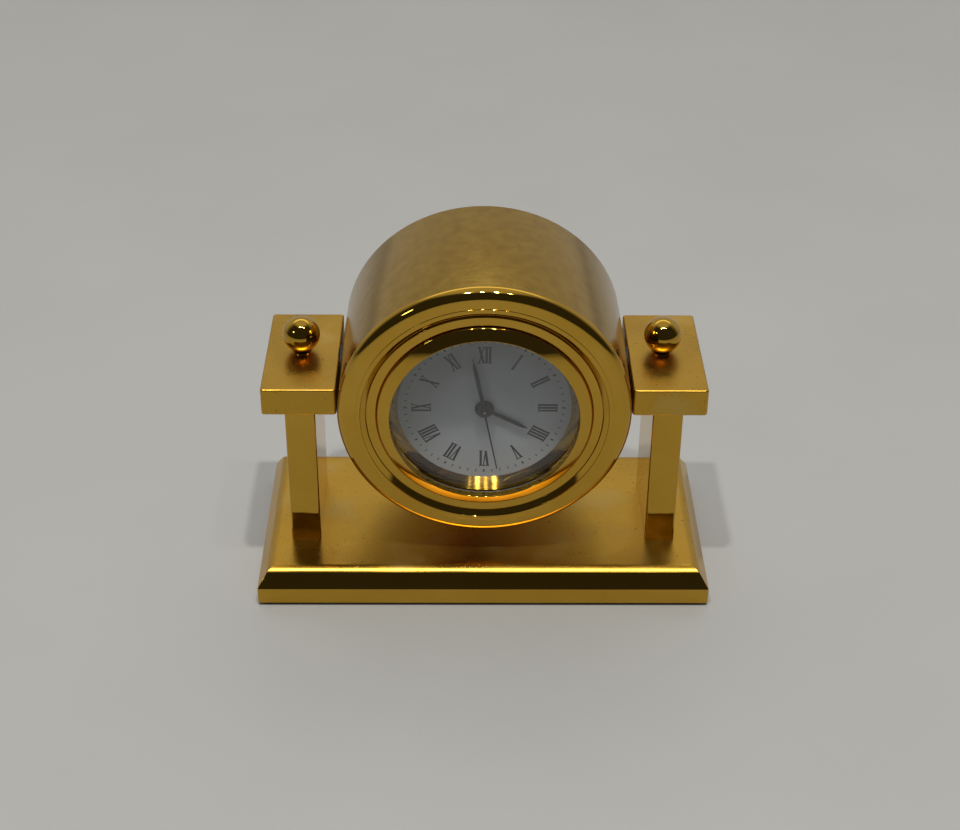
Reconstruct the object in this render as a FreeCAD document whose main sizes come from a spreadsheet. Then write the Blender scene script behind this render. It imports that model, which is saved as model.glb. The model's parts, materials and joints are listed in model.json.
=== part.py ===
"""Miniature gold-plated desk clock: a drum case that hangs on two pins between flat posts.

Millimetres. +Z is up, +X is the viewer's right and the dial faces -Y. The origin is the centre
of the felt's underside, on the table. The case leans forward a few degrees on its pins, so every
piece of the case and of the movement is drawn upright about its own axis and placed with that lean.
"""
import FreeCAD, Part
import math
import os
import re
import Sketcher
from FreeCAD import Placement, Rotation, Vector

doc = FreeCAD.newDocument("DeskClock")

# Driving sizes: name, millimetres or degrees, what it measures
SIZES = [
    # Stand
    ("felt_thickness", 0.38, "felt pad under the base"),
    ("felt_margin", 0.7, "how far the felt stays inside the base edge"),
    ("edge_height", 2.5, "upright edge of the base plate"),
    ("crown_height", 2.54, "moulded bevel above the upright edge"),
    ("crown_inset", 1.67, "how far the bevel draws in"),
    ("crown_round", 1.8, "rounding where the bevel meets the top"),
    ("base_depth", 31.6, "base plate, front to back"),
    ("base_side_margin", 4.37, "base beyond the outer face of a post"),
    ("post_width", 4.2, "flat post, side to side"),
    ("post_depth", 14.7, "flat post, front to back"),
    ("post_round", 0.3, "rounding of the post's upright edges"),
    ("post_shift", 0.2, "post outward of the middle of its capital"),
    ("capital_width", 10.2, "capital block, side to side"),
    ("capital_depth", 20.7, "capital block, front to back"),
    ("capital_height", 4.0, "capital block, bottom to top"),
    ("capital_round", 0.25, "rounding of the capital's edges"),
    ("ball_radius", 2.6, "ball finial"),
    ("ball_sink", 0.16, "how deep the ball's underside is turned away at its collar"),
    ("collar_radius", 1.35, "collar under the ball"),
    ("collar_height", 0.2, "collar under the ball"),
    ("stud_radius", 1.0, "threaded stud of the finial"),
    ("stud_grip", 5.0, "length of the stud inside the post"),
    ("screw_radius", 1.25, "screw that holds a post from below"),
    ("screw_head_radius", 2.3, "its countersunk head"),
    ("screw_head_height", 1.25, "its countersunk head"),
    ("screw_grip", 7.0, "length of the screw inside the post"),
    ("drive_radius", 0.9, "socket in the screw head"),
    ("drive_depth", 0.6, "socket in the screw head"),
    ("thread_gap", 0.05, "clearance around studs and screws"),
    # Pivots
    ("pivot_gap", 0.05, "between the case's side and the capital"),
    ("case_floor_gap", 3.99, "between the case's underside and the base"),
    ("case_drop", 1.15, "case axis below the pivot pins, so that it hangs steady"),
    ("case_lean", 3.0, "degrees that the case nods forward at rest"),
    ("pin_radius", 0.7, "pivot pin"),
    ("pin_grip", 3.2, "length of the pin inside the capital"),
    ("pin_gap", 0.03, "running clearance of the pin in its bush"),
    ("seat_gap", 0.02, "clearance of a piece that is fixed in its seat"),
    ("bush_wall", 0.7, "wall of the pivot bush"),
    ("bush_flange_radius", 2.2, "inner flange of the bush"),
    ("bush_flange_thickness", 0.6, "inner flange of the bush"),
    ("washer_radius", 2.4, "friction washer between case and capital"),
    ("washer_thickness", 0.9, "friction washer between case and capital"),
    ("washer_gap", 0.05, "clearance around the friction washer"),
    # Case
    ("case_half_length", 11.7, "case axis to its front or back face"),
    ("case_wall", 1.6, "turned wall of the case"),
    ("front_wall", 2.6, "front wall of the case"),
    ("edge_roll", 1.8, "polished roll around the front"),
    ("front_land", 0.99, "flat ring between the roll and the mouth"),
    ("mouth_round", 1.1, "rounded lip around the insert"),
    ("rear_edge_chamfer", 0.25, "broken edge at the back"),
    ("cover_thickness", 1.5, "rear cover"),
    ("cover_step", 0.6, "shoulder that the rear cover sits on"),
    ("push_hole_radius", 6.5, "hole in the rear cover for pushing the insert out"),
    ("cover_round", 0.4, "rounded rims of the rear cover"),
    # Insert shell
    ("aperture_radius", 12.9, "clear opening in front of the glass"),
    ("crystal_ledge", 0.45, "ledge that holds the glass"),
    ("cup_wall", 0.75, "wall of the insert's cup"),
    ("flange_reach", 2.0, "flange beyond the cup"),
    ("flange_gap", 0.06, "between the flange and the case's mouth"),
    ("flange_thickness", 1.0, "flange of the insert"),
    ("flange_sink", 0.45, "flange face behind the case's front face"),
    ("flange_round", 0.45, "rounded rim of the flange"),
    ("bead_width", 1.6, "raised bead around the glass"),
    ("bead_rise", 0.75, "raised bead around the glass"),
    ("bead_round", 0.6, "rounding of the bead"),
    ("bore_gap", 0.25, "between the cup and the case's bore"),
    ("grip_width", 0.8, "rubber ring that grips the bore"),
    ("grip_groove", 0.35, "groove that holds the rubber ring"),
    ("grip_start", 0.2, "front of the rubber ring behind the flange"),
    ("crystal_thickness", 0.9, "glass"),
    ("crystal_gasket", 0.3, "sealing ring around the glass"),
    ("ring_height", 1.68, "gilt ring between glass and dial"),
    ("ring_slope", 1.02, "how far that ring draws in towards the dial"),
    ("dial_thickness", 0.3, "dial"),
    ("dial_hole_radius", 0.85, "hole in the dial for the hands"),
    ("shoulder_thickness", 0.8, "step of the cup that the dial rests on"),
    ("cup_rear_length", 3.8, "rear part of the cup"),
    ("back_thickness", 0.8, "snap-on back of the insert"),
    ("back_skirt", 0.7, "skirt of the back inside the cup"),
    ("back_wall", 0.4, "wall of that skirt"),
    # Movement
    ("movement_radius", 9.91, "main plate of the movement"),
    ("holder_wall", 0.7, "plastic ring around the movement"),
    ("motion_space", 1.0, "room for the wheels under the dial"),
    ("plate_thickness", 0.6, "main plate"),
    ("train_space", 1.6, "room between main plate and bridge"),
    ("bridge_thickness", 0.4, "train bridge"),
    ("pillar_radius", 0.75, "pillars that carry the bridge"),
    ("plate_screw_radius", 0.35, "screws of the bridge"),
    ("plate_screw_head", 0.7, "heads of those screws"),
    ("plate_screw_rise", 0.3, "heads of those screws"),
    ("arbor_spacing", 2.72, "centre arbor to the third and intermediate arbors"),
    ("motion_spacing", 2.2, "centre arbor to the minute wheel"),
    ("rotor_spacing", 1.68, "intermediate arbor to the rotor"),
    ("third_bearing", -45.0, "degrees from +X to the third wheel"),
    ("intermediate_bearing", 105.0, "degrees from +X to the intermediate wheel"),
    ("wheel_thickness", 0.15, "toothed wheels"),
    ("pinion_length", 0.3, "pinions"),
    ("arbor_radius", 0.1, "arbors"),
    ("arbor_gap", 0.03, "running clearance of arbors and tubes"),
    ("tube_wall", 0.12, "centre tube"),
    ("cannon_wall", 0.14, "cannon pinion"),
    ("hour_tube_wall", 0.16, "tube of the hour wheel"),
    ("magnet_radius", 0.75, "rotor magnet"),
    ("magnet_thickness", 0.5, "rotor magnet"),
    ("stator_gap", 0.25, "between magnet and stator"),
    ("stator_thickness", 0.4, "stator"),
    ("stator_bar", 2.2, "stator bar around the rotor"),
    ("lug_width", 1.6, "stator lugs under the coil core"),
    ("lug_gap", 0.05, "between the coil's cheek and a lug"),
    ("coil_margin", 0.7, "main plate left above the coil's window"),
    ("core_width", 1.2, "coil core"),
    ("coil_radius", 0.95, "coil winding"),
    ("coil_half_length", 3.9, "coil winding"),
    ("cheek_thickness", 0.25, "cheeks at the ends of the coil"),
    ("coil_gap", 0.1, "between the coil and the window in the plate"),
    ("cell_radius", 3.4, "button cell"),
    ("cell_thickness", 2.1, "button cell"),
    ("cell_rim_gap", 0.12, "between the cell and the movement's rim"),
    ("cell_bearing", 192.5, "degrees from +X to the button cell"),
    ("clamp_width", 2.0, "battery clamp"),
    ("clamp_thickness", 0.2, "battery clamp"),
    ("board_width", 6.6, "circuit board"),
    ("board_depth", 3.8, "circuit board"),
    ("board_thickness", 0.3, "circuit board"),
    ("board_drop", 6.5, "circuit board below the centre"),
    ("board_shift", 1.3, "circuit board right of the centre"),
    ("chip_size", 1.5, "sealed chip on the board"),
    ("chip_gap", 0.2, "between the chip and the quartz can"),
    ("quartz_radius", 0.7, "quartz can"),
    ("quartz_length", 4.6, "quartz can"),
    # Hands
    ("hour_tip_gap", 5.1, "hour hand's tip inside the dial ring"),
    ("minute_tip_gap", 3.05, "minute hand's tip inside the dial ring"),
    ("second_tip_gap", 1.35, "second hand's tip inside the dial ring"),
    ("hour_hand_root", 0.5, "width of the hour hand at its boss"),
    ("hour_hand_width", 0.78, "hour hand where it is widest"),
    ("minute_hand_root", 0.42, "width of the minute hand at its boss"),
    ("minute_hand_width", 0.7, "minute hand where it is widest"),
    ("second_hand_root", 0.26, "width of the second hand at its boss"),
    ("second_hand_width", 0.16, "second hand near its tip"),
    ("hand_thickness", 0.15, "hour and minute hands"),
    ("hand_gap", 0.3, "between one hand and the next"),
    ("hour_boss_radius", 1.3, "boss of the hour hand"),
    ("minute_boss_radius", 1.05, "boss of the minute hand"),
    ("second_boss_radius", 0.55, "boss of the second hand"),
    ("second_hand_thickness", 0.1, "second hand"),
    ("hour_hand_turn", 118.5, "degrees clockwise from twelve"),
    ("minute_hand_turn", 349.0, "degrees clockwise from twelve"),
    ("second_hand_turn", 170.6, "degrees clockwise from twelve"),
    # Crown
    ("stem_radius", 0.4, "stem"),
    ("stem_gap", 0.08, "clearance of the stem in the cup and the holder"),
    ("castle_radius", 0.6, "toothed end of the stem"),
    ("castle_length", 0.6, "toothed end of the stem"),
    ("crown_radius", 1.3, "crown"),
    ("crown_length", 1.9, "crown"),
    ("crown_stand", 0.15, "crown clear of the cup"),
    ("crown_flute", 0.12, "flutes of the crown"),
    ("slider_thickness", 0.25, "slider that rides with the stem"),
    ("slider_width", 1.6, "slider that rides with the stem"),
]

sheet = doc.addObject("Spreadsheet::Sheet", "Sizes")
for row, (alias, number, meaning) in enumerate(SIZES, 1):
    sheet.set(f"A{row}", meaning)
    sheet.set(f"B{row}", str(number))
    sheet.setAlias(f"B{row}", alias)
doc.recompute()

# Places and sizes that follow from the driving sizes, in the order in which they build on each other.
# On the insert's axis, depth counts backwards from the face that its flange seats on.
LAYOUT = [
    ("base_top", "felt_thickness + edge_height + crown_height"),
    ("cup_inner_radius", "aperture_radius + crystal_ledge"),
    ("cup_outer_radius", "cup_inner_radius + cup_wall"),
    ("flange_radius", "cup_outer_radius + flange_reach"),
    ("recess_radius", "flange_radius + flange_gap"),
    ("case_radius", "recess_radius + mouth_round + front_land + edge_roll"),
    ("case_inner_radius", "case_radius - case_wall"),
    ("case_bore_radius", "cup_outer_radius + bore_gap"),
    ("cover_radius", "case_inner_radius + cover_step"),
    ("recess_depth", "flange_thickness + flange_sink"),
    ("seat_y", "recess_depth - case_half_length"),
    ("capital_face", "case_radius + pivot_gap"),
    ("capital_x", "capital_face + capital_width / 2"),
    ("post_x", "capital_x + post_shift"),
    ("base_half_width", "post_x + post_width / 2 + base_side_margin"),
    ("pivot_z", "base_top + case_floor_gap + case_radius + case_drop"),
    ("capital_bottom", "pivot_z - capital_height / 2"),
    ("capital_top", "pivot_z + capital_height / 2"),
    ("case_axis_y", "case_drop * sin(case_lean)"),
    ("case_axis_z", "pivot_z - case_drop * cos(case_lean)"),
    ("ball_z", "capital_top + collar_height + ball_radius - ball_sink"),
    ("bush_radius", "pin_radius + pin_gap + bush_wall"),
    ("bush_reach", "bush_flange_radius + case_drop"),
    ("bush_face", "sqrt(case_inner_radius * case_inner_radius - bush_reach * bush_reach) - washer_gap"),
    ("washer_floor", "capital_face - washer_gap - washer_thickness"),
    ("washer_recess_radius", "washer_radius + washer_gap"),
    ("crystal_back", "crystal_thickness - flange_thickness"),
    ("dial_front", "crystal_back + ring_height"),
    ("dial_back", "dial_front + dial_thickness"),
    ("dial_radius", "cup_inner_radius - seat_gap"),
    ("dial_opening", "aperture_radius - ring_slope"),
    ("shoulder_back", "dial_back + shoulder_thickness"),
    ("rear_inner_radius", "movement_radius + holder_wall + 2 * seat_gap"),
    ("rear_outer_radius", "rear_inner_radius + cup_wall"),
    ("cup_end", "shoulder_back + cup_rear_length"),
    ("holder_radius", "rear_inner_radius - seat_gap"),
    ("plate_front", "dial_back + motion_space"),
    ("plate_back", "plate_front + plate_thickness"),
    ("bridge_front", "plate_back + train_space"),
    ("bridge_back", "bridge_front + bridge_thickness"),
    ("intermediate_x", "arbor_spacing * cos(intermediate_bearing)"),
    ("intermediate_z", "arbor_spacing * sin(intermediate_bearing)"),
    ("third_x", "arbor_spacing * cos(third_bearing)"),
    ("third_z", "arbor_spacing * sin(third_bearing)"),
    ("rotor_z", "intermediate_z + sqrt(rotor_spacing * rotor_spacing - intermediate_x * intermediate_x)"),
    ("coil_half_span", "coil_half_length + cheek_thickness"),
    ("window_half_span", "coil_half_span + coil_gap"),
    ("window_reach", "sqrt(movement_radius * movement_radius - window_half_span * window_half_span)"),
    ("core_height", "window_reach - coil_radius - coil_gap - coil_margin"),
    ("stator_half_span", "coil_half_span + lug_gap + lug_width"),
    ("cell_distance", "movement_radius - cell_radius - cell_rim_gap"),
    ("cell_x", "cell_distance * cos(cell_bearing)"),
    ("cell_z", "cell_distance * sin(cell_bearing)"),
    ("stem_depth", "plate_back + castle_radius + seat_gap"),
    ("setting_x", "motion_spacing + motion_spacing * 56 / 48"),
    ("tube_radius", "arbor_radius + arbor_gap + tube_wall"),
    ("cannon_radius", "tube_radius + seat_gap + cannon_wall"),
    ("hour_tube_radius", "cannon_radius + arbor_gap + hour_tube_wall"),
    ("hour_hand_back", "dial_front - hand_gap"),
    ("hour_hand_front", "hour_hand_back - hand_thickness"),
    ("minute_hand_back", "hour_hand_front - hand_gap"),
    ("minute_hand_front", "minute_hand_back - hand_thickness"),
    ("second_hand_back", "minute_hand_front - hand_gap"),
    ("second_hand_front", "second_hand_back - second_hand_thickness"),
    ("crown_start", "rear_outer_radius + crown_stand"),
]


def cells(formula):
    """Write each size name in a formula as a reference to the sheet or to the layout."""
    driving = {alias for alias, number, meaning in SIZES}

    def refer(match):
        word = match.group()
        return ("Sizes." if word in driving else "Layout.") + word

    return re.sub(r"[a-z]+(?:_[a-z]+)+", refer, formula)


def bind(thing, path, formula):
    thing.setExpression(path, cells(formula))


layout = doc.addObject("App::VarSet", "Layout")
for name, formula in LAYOUT:
    layout.addProperty("App::PropertyFloat", name, "Layout")
    bind(layout, name, formula)
doc.recompute()


def size(name):
    """The number behind a size name, for the shapes that are made from points."""
    return float(getattr(layout, name) if name in layout.PropertiesList else sheet.get(name))


def new_body(label):
    body = doc.addObject("PartDesign::Body", label)
    body.Label = label
    return body


def origin_feature(body, role):
    return next(feature for feature in body.Origin.OriginFeatures if feature.Role == role)


def new_sketch(body, role, offset="0"):
    """A sketch on one of the body's own planes, moved along that plane's normal."""
    sketch = body.newObject("Sketcher::SketchObject", body.Name + "_sketch")
    sketch.AttachmentSupport = [(origin_feature(body, role), "")]
    sketch.MapMode = "FlatFace"
    bind(sketch, "AttachmentOffset.Base.z", offset)
    return sketch


def fix_point(sketch, geometry, end, x, y):
    """Hold one point of a sketch at the place that two formulas give."""
    for kind, formula in (("DistanceX", x), ("DistanceY", y)):
        index = sketch.addConstraint(Sketcher.Constraint(kind, -1, 1, geometry, end, 1.0))
        bind(sketch, f"Constraints[{index}]", formula)


def outline(sketch, corners):
    """Draw a closed outline of straight lines through corners given as pairs of formulas."""
    count = len(corners)
    first = sketch.GeometryCount
    start = [Vector(math.cos(math.tau * k / count), math.sin(math.tau * k / count), 0) for k in range(count)]
    for k in range(count):
        sketch.addGeometry(Part.LineSegment(start[k], start[(k + 1) % count]), False)
    for k in range(count):
        sketch.addConstraint(Sketcher.Constraint("Coincident", first + k, 2, first + (k + 1) % count, 1))
    for k, (x, y) in enumerate(corners):
        fix_point(sketch, first + k, 1, x, y)


def circle(sketch, radius, x="0", y="0"):
    index = sketch.addGeometry(Part.Circle(Vector(0, 0, 0), Vector(0, 0, 1), 1), False)
    fix_point(sketch, index, 3, x, y)
    ring = sketch.addConstraint(Sketcher.Constraint("Radius", index, 1.0))
    bind(sketch, f"Constraints[{ring}]", radius)


def box_corners(x_low, x_high, y_low, y_high):
    return [(x_low, y_low), (x_high, y_low), (x_high, y_high), (x_low, y_high)]


def pad(body, sketch, length):
    feature = body.newObject("PartDesign::Pad", body.Name + "_pad")
    feature.Profile = sketch
    bind(feature, "Length", length)
    return feature


def pocket(body, sketch, length=None, forward=False):
    """Cut a sketch out of the body, right through or to a depth against the sketch's normal."""
    feature = body.newObject("PartDesign::Pocket", body.Name + "_pocket")
    feature.Profile = sketch
    feature.Reversed = forward
    if length is None:
        feature.Type = "ThroughAll"
        feature.Midplane = True
    else:
        bind(feature, "Length", length)
    return feature


def revolve(body, corners, axis="V_Axis", cut=False, role="XY_Plane"):
    """Turn an outline about an axis of its own sketch, as material or as a cut."""
    sketch = new_sketch(body, role)
    outline(sketch, corners)
    kind = "PartDesign::Groove" if cut else "PartDesign::Revolution"
    feature = body.newObject(kind, body.Name + "_turn")
    feature.Profile = sketch
    feature.ReferenceAxis = (sketch, [axis])
    feature.Angle = 360
    return feature


def round_edges(body, names, radius):
    """Round named edges of the body's last feature."""
    feature = body.newObject("PartDesign::Fillet", body.Name + "_fillet")
    feature.Base = (feature.BaseFeature, names)
    bind(feature, "Radius", radius)
    return feature


def rims(body, radius, depth):
    """Names of the circular edges of a given radius that lie at a given place along the axis."""
    doc.recompute()
    found = []
    for number, edge in enumerate(body.Tip.Shape.Edges, 1):
        curve = edge.Curve
        if isinstance(curve, Part.Circle) and abs(curve.Radius - radius) < 1e-4:
            if abs(curve.Center.y - depth) < 1e-4:
                found.append(f"Edge{number}")
    return found


def upright_edges(body):
    """Names of the straight edges of the last feature that are parallel to Z."""
    doc.recompute()
    found = []
    for number, edge in enumerate(body.Tip.Shape.Edges, 1):
        spread = edge.BoundBox
        if spread.XLength < 1e-6 and spread.YLength < 1e-6:
            found.append(f"Edge{number}")
    return found


def place_in_case(thing, x="0", y="0", z="0"):
    """Seat a piece in the case: a place on the case's own axes, turned with the case's lean."""
    thing.Placement = Placement(Vector(0, 0, 0), Rotation(Vector(1, 0, 0), 1))
    bind(thing, "Placement.Rotation.Angle", "case_lean")
    bind(thing, "Placement.Base.x", x)
    bind(thing, "Placement.Base.y", f"case_axis_y + ({y}) * cos(case_lean) - ({z}) * sin(case_lean)")
    bind(thing, "Placement.Base.z", f"case_axis_z + ({y}) * sin(case_lean) + ({z}) * cos(case_lean)")


def place_in_insert(thing, x="0", depth="0", z="0"):
    place_in_case(thing, x, f"seat_y + ({depth})", z)


def turned(label, corners):
    """A turned piece of the insert, from corners given as radius and depth."""
    body = new_body(label)
    revolve(body, corners)
    place_in_insert(body)
    return body


def ring_corners(inner, outer, front, back):
    return [(inner, front), (outer, front), (outer, back), (inner, back)]


SIDES = (("left", -1), ("right", 1))


def sided(sign, formula):
    """The same distance to the left or to the right of the middle."""
    return formula if sign > 0 else f"-({formula})"


def make_base():
    """Base plate with a moulded crown, and the holes for the two post screws."""
    body = new_body("base_plate")
    half_depth = "base_depth / 2"
    corners = box_corners("-base_half_width", "base_half_width", f"-{half_depth}", half_depth)
    edge = new_sketch(body, "XY_Plane", "felt_thickness")
    outline(edge, corners)
    pad(body, edge, "edge_height")
    crown = new_sketch(body, "XY_Plane", "felt_thickness + edge_height")
    outline(crown, corners)
    bevel = pad(body, crown, "crown_height")
    bind(bevel, "TaperAngle", "-atan(crown_inset / crown_height)")
    doc.recompute()
    top = bevel.Shape.BoundBox.ZMax
    names = [f"Edge{k}" for k, e in enumerate(bevel.Shape.Edges, 1) if e.BoundBox.ZMin > top - 1e-6]
    round_edges(body, names, "crown_round")
    for side, sign in SIDES:
        hole = new_sketch(body, "XY_Plane", "base_top")
        circle(hole, "screw_radius + thread_gap", sided(sign, "post_x"))
        pocket(body, hole)
        sink = body.newObject("PartDesign::SubtractiveCone", body.Name + "_sink")
        bind(sink, "Radius1", "screw_head_radius + thread_gap")
        bind(sink, "Radius2", "screw_radius + thread_gap")
        bind(sink, "Height", "screw_head_height")
        bind(sink, "Placement.Base.x", sided(sign, "post_x"))
        bind(sink, "Placement.Base.z", "felt_thickness")


def make_felt():
    body = new_body("base_felt")
    half_width = "(base_half_width - felt_margin)"
    half_depth = "(base_depth / 2 - felt_margin)"
    sketch = new_sketch(body, "XY_Plane")
    outline(sketch, box_corners(f"-{half_width}", half_width, f"-{half_depth}", half_depth))
    pad(body, sketch, "felt_thickness")


def make_post(side, sign):
    """Flat bar with a hole from below for its screw and one from above for the finial's stud."""
    body = new_body(f"{side}_post")
    sketch = new_sketch(body, "XY_Plane", "base_top")
    outline(sketch, box_corners("-post_width / 2", "post_width / 2", "-post_depth / 2", "post_depth / 2"))
    pad(body, sketch, "capital_bottom - base_top")
    round_edges(body, upright_edges(body), "post_round")
    screw_hole = new_sketch(body, "XY_Plane", "base_top")
    circle(screw_hole, "screw_radius + thread_gap")
    pocket(body, screw_hole, "screw_grip + thread_gap", forward=True)
    stud_hole = new_sketch(body, "XY_Plane", "capital_bottom")
    circle(stud_hole, "stud_radius + thread_gap", sided(-sign, "post_shift"))
    pocket(body, stud_hole, "stud_grip + thread_gap")
    bind(body, "Placement.Base.x", sided(sign, "post_x"))


def make_capital(side, sign):
    """Block on top of a post, with a hole for the finial's stud and a blind hole for the pivot pin."""
    body = new_body(f"{side}_capital")
    half_width = "capital_width / 2"
    half_depth = "capital_depth / 2"
    sketch = new_sketch(body, "XY_Plane", "capital_bottom")
    outline(sketch, box_corners(f"-{half_width}", half_width, f"-{half_depth}", half_depth))
    block = pad(body, sketch, "capital_height")
    doc.recompute()
    round_edges(body, [f"Edge{k}" for k in range(1, len(block.Shape.Edges) + 1)], "capital_round")
    stud_hole = new_sketch(body, "XY_Plane", "capital_bottom")
    circle(stud_hole, "stud_radius + thread_gap")
    pocket(body, stud_hole)
    pin_hole = new_sketch(body, "YZ_Plane", sided(-sign, half_width))
    circle(pin_hole, "pin_radius + seat_gap", "0", "pivot_z")
    pocket(body, pin_hole, "pin_grip + seat_gap", forward=sign > 0)
    bind(body, "Placement.Base.x", sided(sign, "capital_x"))


def make_finial(side, sign):
    """Ball on a small collar, with the stud that holds the capital down on its post."""
    parts = []
    ball = doc.addObject("Part::Sphere", f"{side}_ball")
    bind(ball, "Radius", "ball_radius")
    bind(ball, "Placement.Base.z", "ball_z")
    parts.append(ball)
    collar = doc.addObject("Part::Cylinder", f"{side}_collar")
    bind(collar, "Radius", "collar_radius")
    bind(collar, "Height", "ball_z - capital_top")
    bind(collar, "Placement.Base.z", "capital_top")
    parts.append(collar)
    stud = doc.addObject("Part::Cylinder", f"{side}_stud")
    bind(stud, "Radius", "stud_radius")
    bind(stud, "Height", "capital_height + stud_grip")
    bind(stud, "Placement.Base.z", "capital_bottom - stud_grip")
    parts.append(stud)
    finial = doc.addObject("Part::MultiFuse", f"{side}_finial")
    finial.Label = f"{side}_finial"
    finial.Shapes = parts
    finial.Refine = True
    bind(finial, "Placement.Base.x", sided(sign, "capital_x"))


def make_post_screw(side, sign):
    """Countersunk screw, turned about Z, with a socket in its head."""
    body = new_body(f"{side}_post_screw")
    bottom = "felt_thickness + seat_gap"
    corners = [
        ("0", bottom),
        ("screw_head_radius", bottom),
        ("screw_radius", "felt_thickness + seat_gap + screw_head_height"),
        ("screw_radius", "base_top + screw_grip"),
        ("0", "base_top + screw_grip"),
    ]
    revolve(body, corners, role="XZ_Plane")
    socket = new_sketch(body, "XY_Plane", bottom)
    circle(socket, "drive_radius")
    pocket(body, socket, "drive_depth", forward=True)
    bind(body, "Placement.Base.x", sided(sign, "post_x"))


def make_pivot(side, sign):
    """Pin fixed in the capital, the bush in the case that turns on it, and the friction washer between."""
    inner_end = "bush_face - bush_flange_thickness"
    pin = new_body(f"{side}_pivot_pin")
    corners = box_corners(inner_end, "capital_face + pin_grip", "0", "pin_radius")
    revolve(pin, [(sided(sign, x), y) for x, y in corners], axis="H_Axis")
    bind(pin, "Placement.Base.z", "pivot_z")
    bush = new_body(f"{side}_pivot_bush")
    bore = "pin_radius + pin_gap"
    corners = [
        (inner_end, bore),
        ("washer_floor", bore),
        ("washer_floor", "bush_radius"),
        ("bush_face", "bush_radius"),
        ("bush_face", "bush_flange_radius"),
        (inner_end, "bush_flange_radius"),
    ]
    revolve(bush, [(sided(sign, x), y) for x, y in corners], axis="H_Axis")
    place_in_case(bush, z="case_drop")
    washer = new_body(f"{side}_friction_washer")
    corners = box_corners("washer_floor", "washer_floor + washer_thickness", bore, "washer_radius")
    revolve(washer, [(sided(sign, x), y) for x, y in corners], axis="H_Axis")
    place_in_case(washer, z="case_drop")


def make_case_barrel():
    """Turned case: front wall with a recess for the insert, rolled front edge, rebate at the back."""
    body = new_body("case_barrel")
    front = "-case_half_length"
    corners = [
        ("case_bore_radius", "seat_y"),
        ("recess_radius", "seat_y"),
        ("recess_radius", front),
        ("case_radius", front),
        ("case_radius", "case_half_length"),
        ("cover_radius + seat_gap", "case_half_length"),
        ("cover_radius + seat_gap", "case_half_length - cover_thickness"),
        ("case_inner_radius", "case_half_length - cover_thickness"),
        ("case_inner_radius", "front_wall - case_half_length"),
        ("case_bore_radius", "front_wall - case_half_length"),
    ]
    revolve(body, corners)
    front_y = -size("case_half_length")
    round_edges(body, rims(body, size("case_radius"), front_y), "edge_roll")
    round_edges(body, rims(body, size("recess_radius"), front_y), "mouth_round")
    back_rim = rims(body, size("case_radius"), -front_y)
    edge = body.newObject("PartDesign::Chamfer", "case_barrel_rear_edge")
    edge.Base = (edge.BaseFeature, back_rim)
    bind(edge, "Size", "rear_edge_chamfer")
    for side, sign in SIDES:
        recess = new_sketch(body, "YZ_Plane", sided(sign, "washer_floor"))
        circle(recess, "washer_recess_radius", "0", "case_drop")
        pocket(body, recess, "case_wall + washer_thickness", forward=sign > 0)
        bush_hole = new_sketch(body, "YZ_Plane", sided(sign, "washer_floor"))
        circle(bush_hole, "bush_radius + seat_gap", "0", "case_drop")
        pocket(body, bush_hole, "case_wall + bush_flange_thickness", forward=sign < 0)
    place_in_case(body)


def make_rear_cover():
    """Disc pressed into the back, with a hole through which a finger pushes the insert out."""
    body = new_body("rear_cover")
    front = "case_half_length - cover_thickness"
    revolve(body, ring_corners("push_hole_radius", "cover_radius", front, "case_half_length"))
    back = size("case_half_length")
    names = rims(body, size("push_hole_radius"), back) + rims(body, size("cover_radius"), back)
    round_edges(body, names, "cover_round")
    place_in_case(body)


def make_insert_bezel():
    """Gilt cup of the insert: flange, bead around the glass, grip groove, narrower rear part."""
    bead_radius = "aperture_radius + bead_width"
    bead_front = "-(flange_thickness + bead_rise)"
    groove_radius = "cup_outer_radius - grip_groove"
    corners = [
        ("aperture_radius", bead_front),
        (bead_radius, bead_front),
        (bead_radius, "-flange_thickness"),
        ("flange_radius", "-flange_thickness"),
        ("flange_radius", "0"),
        ("cup_outer_radius", "0"),
        ("cup_outer_radius", "grip_start"),
        (groove_radius, "grip_start"),
        (groove_radius, "grip_start + grip_width"),
        ("cup_outer_radius", "grip_start + grip_width"),
        ("cup_outer_radius", "shoulder_back"),
        ("rear_outer_radius", "shoulder_back"),
        ("rear_outer_radius", "cup_end"),
        ("rear_inner_radius", "cup_end"),
        ("rear_inner_radius", "dial_back"),
        ("cup_inner_radius", "dial_back"),
        ("cup_inner_radius", "-flange_thickness"),
        ("aperture_radius", "-flange_thickness"),
    ]
    body = turned("insert_bezel", corners)
    face = -size("flange_thickness")
    crest = face - size("bead_rise")
    aperture = size("aperture_radius")
    names = rims(body, aperture, crest) + rims(body, aperture + size("bead_width"), crest)
    round_edges(body, names, "bead_round")
    round_edges(body, rims(body, size("flange_radius"), face), "flange_round")
    hole = new_sketch(body, "YZ_Plane")
    circle(hole, "stem_radius + stem_gap", "stem_depth", "0")
    pocket(body, hole, "cup_outer_radius", forward=True)


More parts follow.
